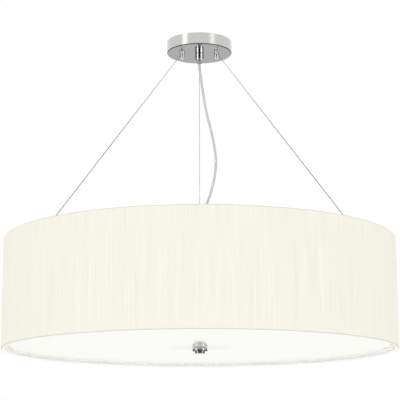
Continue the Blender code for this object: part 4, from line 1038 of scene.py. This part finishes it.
def make_wiring_box():
    """The cup that the lamp arms are welded to, and its lid."""
    low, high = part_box("wiring_box")
    inside, floor = BOX_RADIUS - BOX_WALL, low.z + BOX_WALL
    cup = swept(filleted([
        (ROD_BORE_RADIUS, low.z), (BOX_RADIUS, low.z, BOX_EDGE), (BOX_RADIUS, high.z),
        (inside, high.z), (inside, floor, BOX_EDGE - BOX_WALL), (ROD_BORE_RADIUS, floor),
    ]), ROUND_SEGMENTS)
    start, end = LAMP_ARM_SPAN
    arms = [pin(LAMP_ARM_RADIUS, start, end, lying(azimuth)) for azimuth in LAMP_AZIMUTHS]
    bores = [pin(LAMP_ARM_BORE_RADIUS, start - BOX_WALL, end + BOX_WALL,
                 lying(azimuth) @ turned_to(180.0 / SMALL_SEGMENTS)) for azimuth in LAMP_AZIMUTHS]
    piece("wiring_cup", "wiring_box", ENAMEL, carved(carved(cup, arms, "UNION"), bores))
    low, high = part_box("wiring_box_lid")
    skirt_inner = BOX_RADIUS + TOUCH
    skirt_outer = skirt_inner + BOX_WALL
    under = high.z - BOX_WALL
    turned("wiring_lid", "wiring_box_lid", ENAMEL, [
        (LID_BORE_RADIUS, under), (skirt_inner, under), (skirt_inner, low.z, 0.0003),
        (skirt_outer, low.z, 0.0003), (skirt_outer, high.z, 0.0014), (LID_BORE_RADIUS, high.z, 0.0003),
    ], ROUND_SEGMENTS)


def lamp_outline(foot):
    """A globe lamp's outline: the cap inside the holder, the neck's flare and the round bulb."""
    centre, neck = LAMP_TIP - LAMP_RADIUS, LAMP_NECK_RADIUS
    cap, mouth = neck - LAMP_CAP_STEP, HOLDER_SPAN[1] + TOUCH
    outline = [(0.0, foot), (LAMP_CONTACT_RADIUS, foot), (cap, foot + LAMP_CONTACT_LENGTH),
               (cap, mouth), (neck, mouth)]
    first = -math.pi / 4
    join = Vector((LAMP_RADIUS * math.cos(first), centre + LAMP_RADIUS * math.sin(first)))
    start = Vector(outline[-1])
    bend = Vector((neck, join.y - (join.x - neck)))
    for step in range(1, ARC_STEPS * 2):
        share = step / (ARC_STEPS * 2)
        point = start.lerp(bend, share).lerp(bend.lerp(join, share), share)
        outline.append((point.x, point.y))
    for step in range(SMALL_SEGMENTS // 2):
        turn = first + (math.pi / 2 - first) * step * 2 / SMALL_SEGMENTS
        outline.append((LAMP_RADIUS * math.cos(turn), centre + LAMP_RADIUS * math.sin(turn)))
    outline.append((0.0, LAMP_TIP))
    return outline


def make_lamps():
    """On each arm a lampholder with its lamp, lying outward."""
    start, end = HOLDER_SPAN
    outer, groove, rim = HOLDER_RADIUS, HOLDER_RADIUS - HOLDER_GROOVE_DEPTH, HOLDER_RADIUS - HOLDER_RIM_DEPTH
    socket, floor = HOLDER_RADIUS - SOCKET_WALL, end - SOCKET_DEPTH
    arm_hole, seat = LAMP_ARM_RADIUS + TOUCH, LAMP_ARM_SPAN[1] + TOUCH
    tip, cone = HOLDER_NOSE_RADII
    edges = [start + length for length in HOLDER_GROOVE]
    corners = [
        (0.0, seat), (arm_hole, seat), (arm_hole, start, 0.0004), (tip, start, 0.0010),
        (cone, start + HOLDER_NOSE_LENGTH, 0.0020), (outer, start + HOLDER_SHOULDER, 0.0022),
        (outer, edges[0], 0.0003), (groove, edges[1]), (groove, edges[2]),
        (outer, edges[3], 0.0003), (outer, end - HOLDER_RIM_SPAN[0], 0.0004),
        (rim, end - HOLDER_RIM_SPAN[1]), (rim, end, 0.0010), (socket, end, 0.0006),
        (socket, floor), (0.0, floor),
    ]
    bulb = lamp_outline(floor + TOUCH)
    for number, azimuth in enumerate(LAMP_AZIMUTHS, 1):
        turned(f"lamp_socket_{number}", f"lampholder_{number}", PLASTIC, corners, steps=4,
               place=lying(azimuth))
        piece(f"globe_lamp_{number}", f"lamp_{number}", GLASS,
              swept(bulb, SMALL_SEGMENTS, lying(azimuth)))


def make_rod():
    """The threaded rod that the finial screws onto, hung by its head in the box."""
    _, head, bottom, top = measured("diffuser_rod")
    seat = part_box("wiring_box")[0].z + BOX_WALL + TOUCH
    turned("threaded_rod", "diffuser_rod", THREAD, [
        (0.0, bottom), (ROD_RADIUS, bottom, 0.0006), (ROD_RADIUS, seat),
        (head, seat, 0.0003), (head, top, 0.0008), (0.0, top),
    ])


# Finial

def lobe_reach(reach, height, angle):
    """Round lobes on the finial's wide part, one of them facing the viewer."""
    if reach < FINIAL_VALLEY_RADIUS - FINIAL_LOBE_EDGE:
        return reach
    fullness = math.sqrt(abs(math.cos(FINIAL_LOBES * (angle + math.pi / 2) / 2)))
    return reach - (FINIAL_RADIUS - FINIAL_VALLEY_RADIUS) * (1.0 - fullness)


def make_finial():
    """The lobed nut and its washer under the disc."""
    _, radius, bottom, top = measured("finial_washer")
    turned("washer", "finial_washer", WASHER_CHROME_PAINTED_LIGHT,
           disc(ROD_BORE_RADIUS, radius, bottom, top, 0.0, 0.0003))
    _, _, bottom, top = measured("finial_knob")
    step, bore_top = top - FINIAL_LOBED_HEIGHT, top - FINIAL_BORE_DEPTH
    turned("finial", "finial_knob", KNOB_CHROME_PAINTED_SHADING, [
        (0.0, bottom), (BOSS_RADIUS, bottom, 0.0010), (BOSS_RADIUS, step),
        (FINIAL_RADIUS, step, FINIAL_LOBE_EDGE), (FINIAL_RADIUS, top, 0.0010),
        (ROD_BORE_RADIUS, top), (ROD_BORE_RADIUS, bore_top), (0.0, bore_top),
    ], ROUND_SEGMENTS * 2, reach=lobe_reach)


# Everything that stays as the frame has it, with its finish

def finish_frame_parts():
    """Give each piece that is shown as the frame has it its own material and eased edges."""
    finishes = {"zinc_steel": ZINC, "terminal_brass": BRASS, "white_enamel": ENAMEL,
                "white_plastic": PLASTIC, "flex_sheath": SHEATH}
    for name, thing in frame["nodes"].items():
        if thing.hide_render:
            continue
        finish = finishes[SLOTS[name]]
        if thing.material_slots:
            thing.material_slots[0].material = finish
        else:
            thing.data.materials.append(finish)
        soften = thing.modifiers.new("worn_edges", "BEVEL")
        soften.width = TOUCH
        soften.segments = 2
        soften.limit_method = "ANGLE"
        soften.angle_limit = math.radians(WORN_DEGREES)


# Stage

def stage_sheet(name, rows, finish):
    """A sheet of the stage from two equal rows of points, with a UV map across and up it."""
    form = bmesh.new()
    across = form.loops.layers.uv.new("across")
    lower, upper = [[form.verts.new(point) for point in row] for row in rows]
    for number in range(len(lower) - 1):
        ends = (number, number + 1, number + 1, number)
        face = form.faces.new((lower[number], lower[number + 1], upper[number + 1], upper[number]))
        for loop, end, height in zip(face.loops, ends, (0.0, 0.0, 1.0, 1.0)):
            loop[across].uv = (end / (len(lower) - 1), height)
    thing = new_object(name, finished(form))
    thing.data.materials.append(finish)
    return thing


def seen_in_gloss(rays):
    """1 for a ray that shows the surround in metal or glass."""
    return maths(rays.id_data, "MAXIMUM", rays.outputs["Is Glossy Ray"],
                 rays.outputs["Is Transmission Ray"])


def glow(tree, level):
    """White light of a level."""
    return node(tree, "Emission", Color=WHITE, Strength=level)


def mixed(tree, factor, first, second):
    """One shader turning into another by a factor."""
    return node(tree, "MixShader", factor, first.outputs[0], second.outputs[0])


def surfaced(tree, shader):
    """Make a shader the material's surface."""
    wired(tree.nodes["Material Output"], Surface=shader.outputs[0])


def make_floor():
    """A pale floor well below the light, white far off and in reflections, open from beneath."""
    made, tree, shader = new_material("pale_floor")
    wired(shader, Base_Color=(0.93, 0.93, 0.93, 1.0), Roughness=0.9, Specular_IOR_Level=0.0,
          Emission_Color=WHITE, Emission_Strength=FLOOR_GLOW)
    off = length_of(tree, placed(tree, (1.0, 1.0, 0.0)))
    plain = maths(tree, "MAXIMUM", seen_in_gloss(node(tree, "LightPath")),
                  spread(tree, off, 0.0, 1.0, *FLOOR_FADE))
    shown = mixed(tree, plain, shader, glow(tree, 1.0))
    below = node(tree, "NewGeometry").outputs["Backfacing"]
    surfaced(tree, mixed(tree, below, shown, node(tree, "BsdfTransparent")))
    half = FLOOR_SIZE / 2
    stage_sheet("floor", [[(-half, -half, FLOOR_Z), (half, -half, FLOOR_Z)],
                          [(-half, half, FLOOR_Z), (half, half, FLOOR_Z)]], made)


def make_world():
    """A white surround that lights the object evenly."""
    world = bpy.data.worlds.new("white_room")
    bpy.context.scene.world = world
    world.use_nodes = True
    tree = world.node_tree
    rays = node(tree, "LightPath")
    seen = maths(tree, "MAXIMUM", rays.outputs["Is Camera Ray"], seen_in_gloss(rays))
    wired(tree.nodes["Background"], Color=WHITE,
          Strength=spread(tree, seen, WORLD_LEVEL, 1.0, 0.0, 1.0))


def card(name, azimuths, heights, radius, finish):
    """An upright curved card round the light that only shiny surfaces show."""
    start, end = azimuths
    steps = max(2, round((end - start) / CARD_STEP_DEGREES))
    turns = [math.radians(start + (end - start) * step / steps) for step in range(steps + 1)]
    rows = [[(radius * math.sin(turn), -radius * math.cos(turn), height) for turn in turns]
            for height in heights]
    thing = stage_sheet(name, rows, finish)
    thing.visible_camera = False
    thing.visible_diffuse = False
    thing.visible_shadow = False
    thing.visible_transmission = False


def soft_glow(name, level):
    """Light that fades out towards a card's two upright edges."""
    made, tree, _ = new_material(name)
    across = axes(tree, placed(tree, source="UV"))[0]
    off = maths(tree, "ABSOLUTE", maths(tree, "SUBTRACT", across, 0.5))
    fade = node(tree, "MapRange", Value=off, From_Min=0.5, From_Max=0.0)
    fade.interpolation_type = "SMOOTHSTEP"
    surfaced(tree, mixed(tree, fade.outputs["Result"], node(tree, "BsdfTransparent"),
                         glow(tree, level)))
    return made


def second_look(name, level):
    """A tone that shows only in a reflection of a reflection."""
    made, tree, _ = new_material(name)
    later = maths(tree, "GREATER_THAN", node(tree, "LightPath").outputs["Ray Depth"], 1.5)
    surfaced(tree, mixed(tree, later, node(tree, "BsdfTransparent"), glow(tree, level)))
    return made


def make_cards():
    """Two tall soft lights in the chrome, and a low ring of dark and light cards by the canopy."""
    for side, azimuths, level in SOFTBOXES:
        card(f"softbox_{side}", azimuths, SOFTBOX_HEIGHTS, SOFTBOX_RADIUS,
             soft_glow(f"{side}_glow", level))
    tones = {name: second_look(f"{name}_card", level) for name, level in CARD_LEVELS.items()}
    for name, azimuths, tone in CANOPY_CARDS:
        card("canopy_card_" + name, azimuths, CANOPY_CARD_HEIGHTS, CANOPY_CARD_RADIUS, tones[tone])


def unseen_light(name, data):
    """A light that neither the camera nor a reflection shows."""
    thing = new_object(name, data)
    thing.visible_camera = False
    thing.visible_glossy = False
    return thing


def make_lights():
    """Soft lights left and right of the viewer and low in front, and one inside the shade."""
    for name, azimuth, elevation, distance, size, level, colour in AREA_LIGHTS:
        data = bpy.data.lights.new(name, "AREA")
        data.shape = "RECTANGLE"
        data.size, data.size_y = size
        data.energy = level * size[0] * size[1] * math.pi
        data.color = colour
        turn, rise = math.radians(azimuth), math.radians(elevation)
        off = Vector((math.sin(turn) * math.cos(rise), -math.cos(turn) * math.cos(rise),
                      math.sin(rise)))
        thing = unseen_light(name, data)
        thing.location = Vector(LIGHT_AIM) + off * distance
        thing.rotation_mode = "QUATERNION"
        thing.rotation_quaternion = off.to_track_quat("Z", "Y")
    data = bpy.data.lights.new("inside", "POINT")
    data.energy = INSIDE_WATTS
    data.shadow_soft_size = INSIDE_RADIUS
    unseen_light("inside", data).location = INSIDE_PLACE


set_camera()
make_flex()
make_wires()
make_canopy()
make_cap_nuts()
make_cord_grip()
make_wire_grips()
make_shade()
make_rings()
make_diffuser()
make_hub()
make_anchors()
make_stem()
make_wiring_box()
make_lamps()
make_rod()
make_finial()
finish_frame_parts()
make_floor()
make_world()
make_cards()
make_lights()
bpy.context.scene.view_settings.view_transform = "Standard"
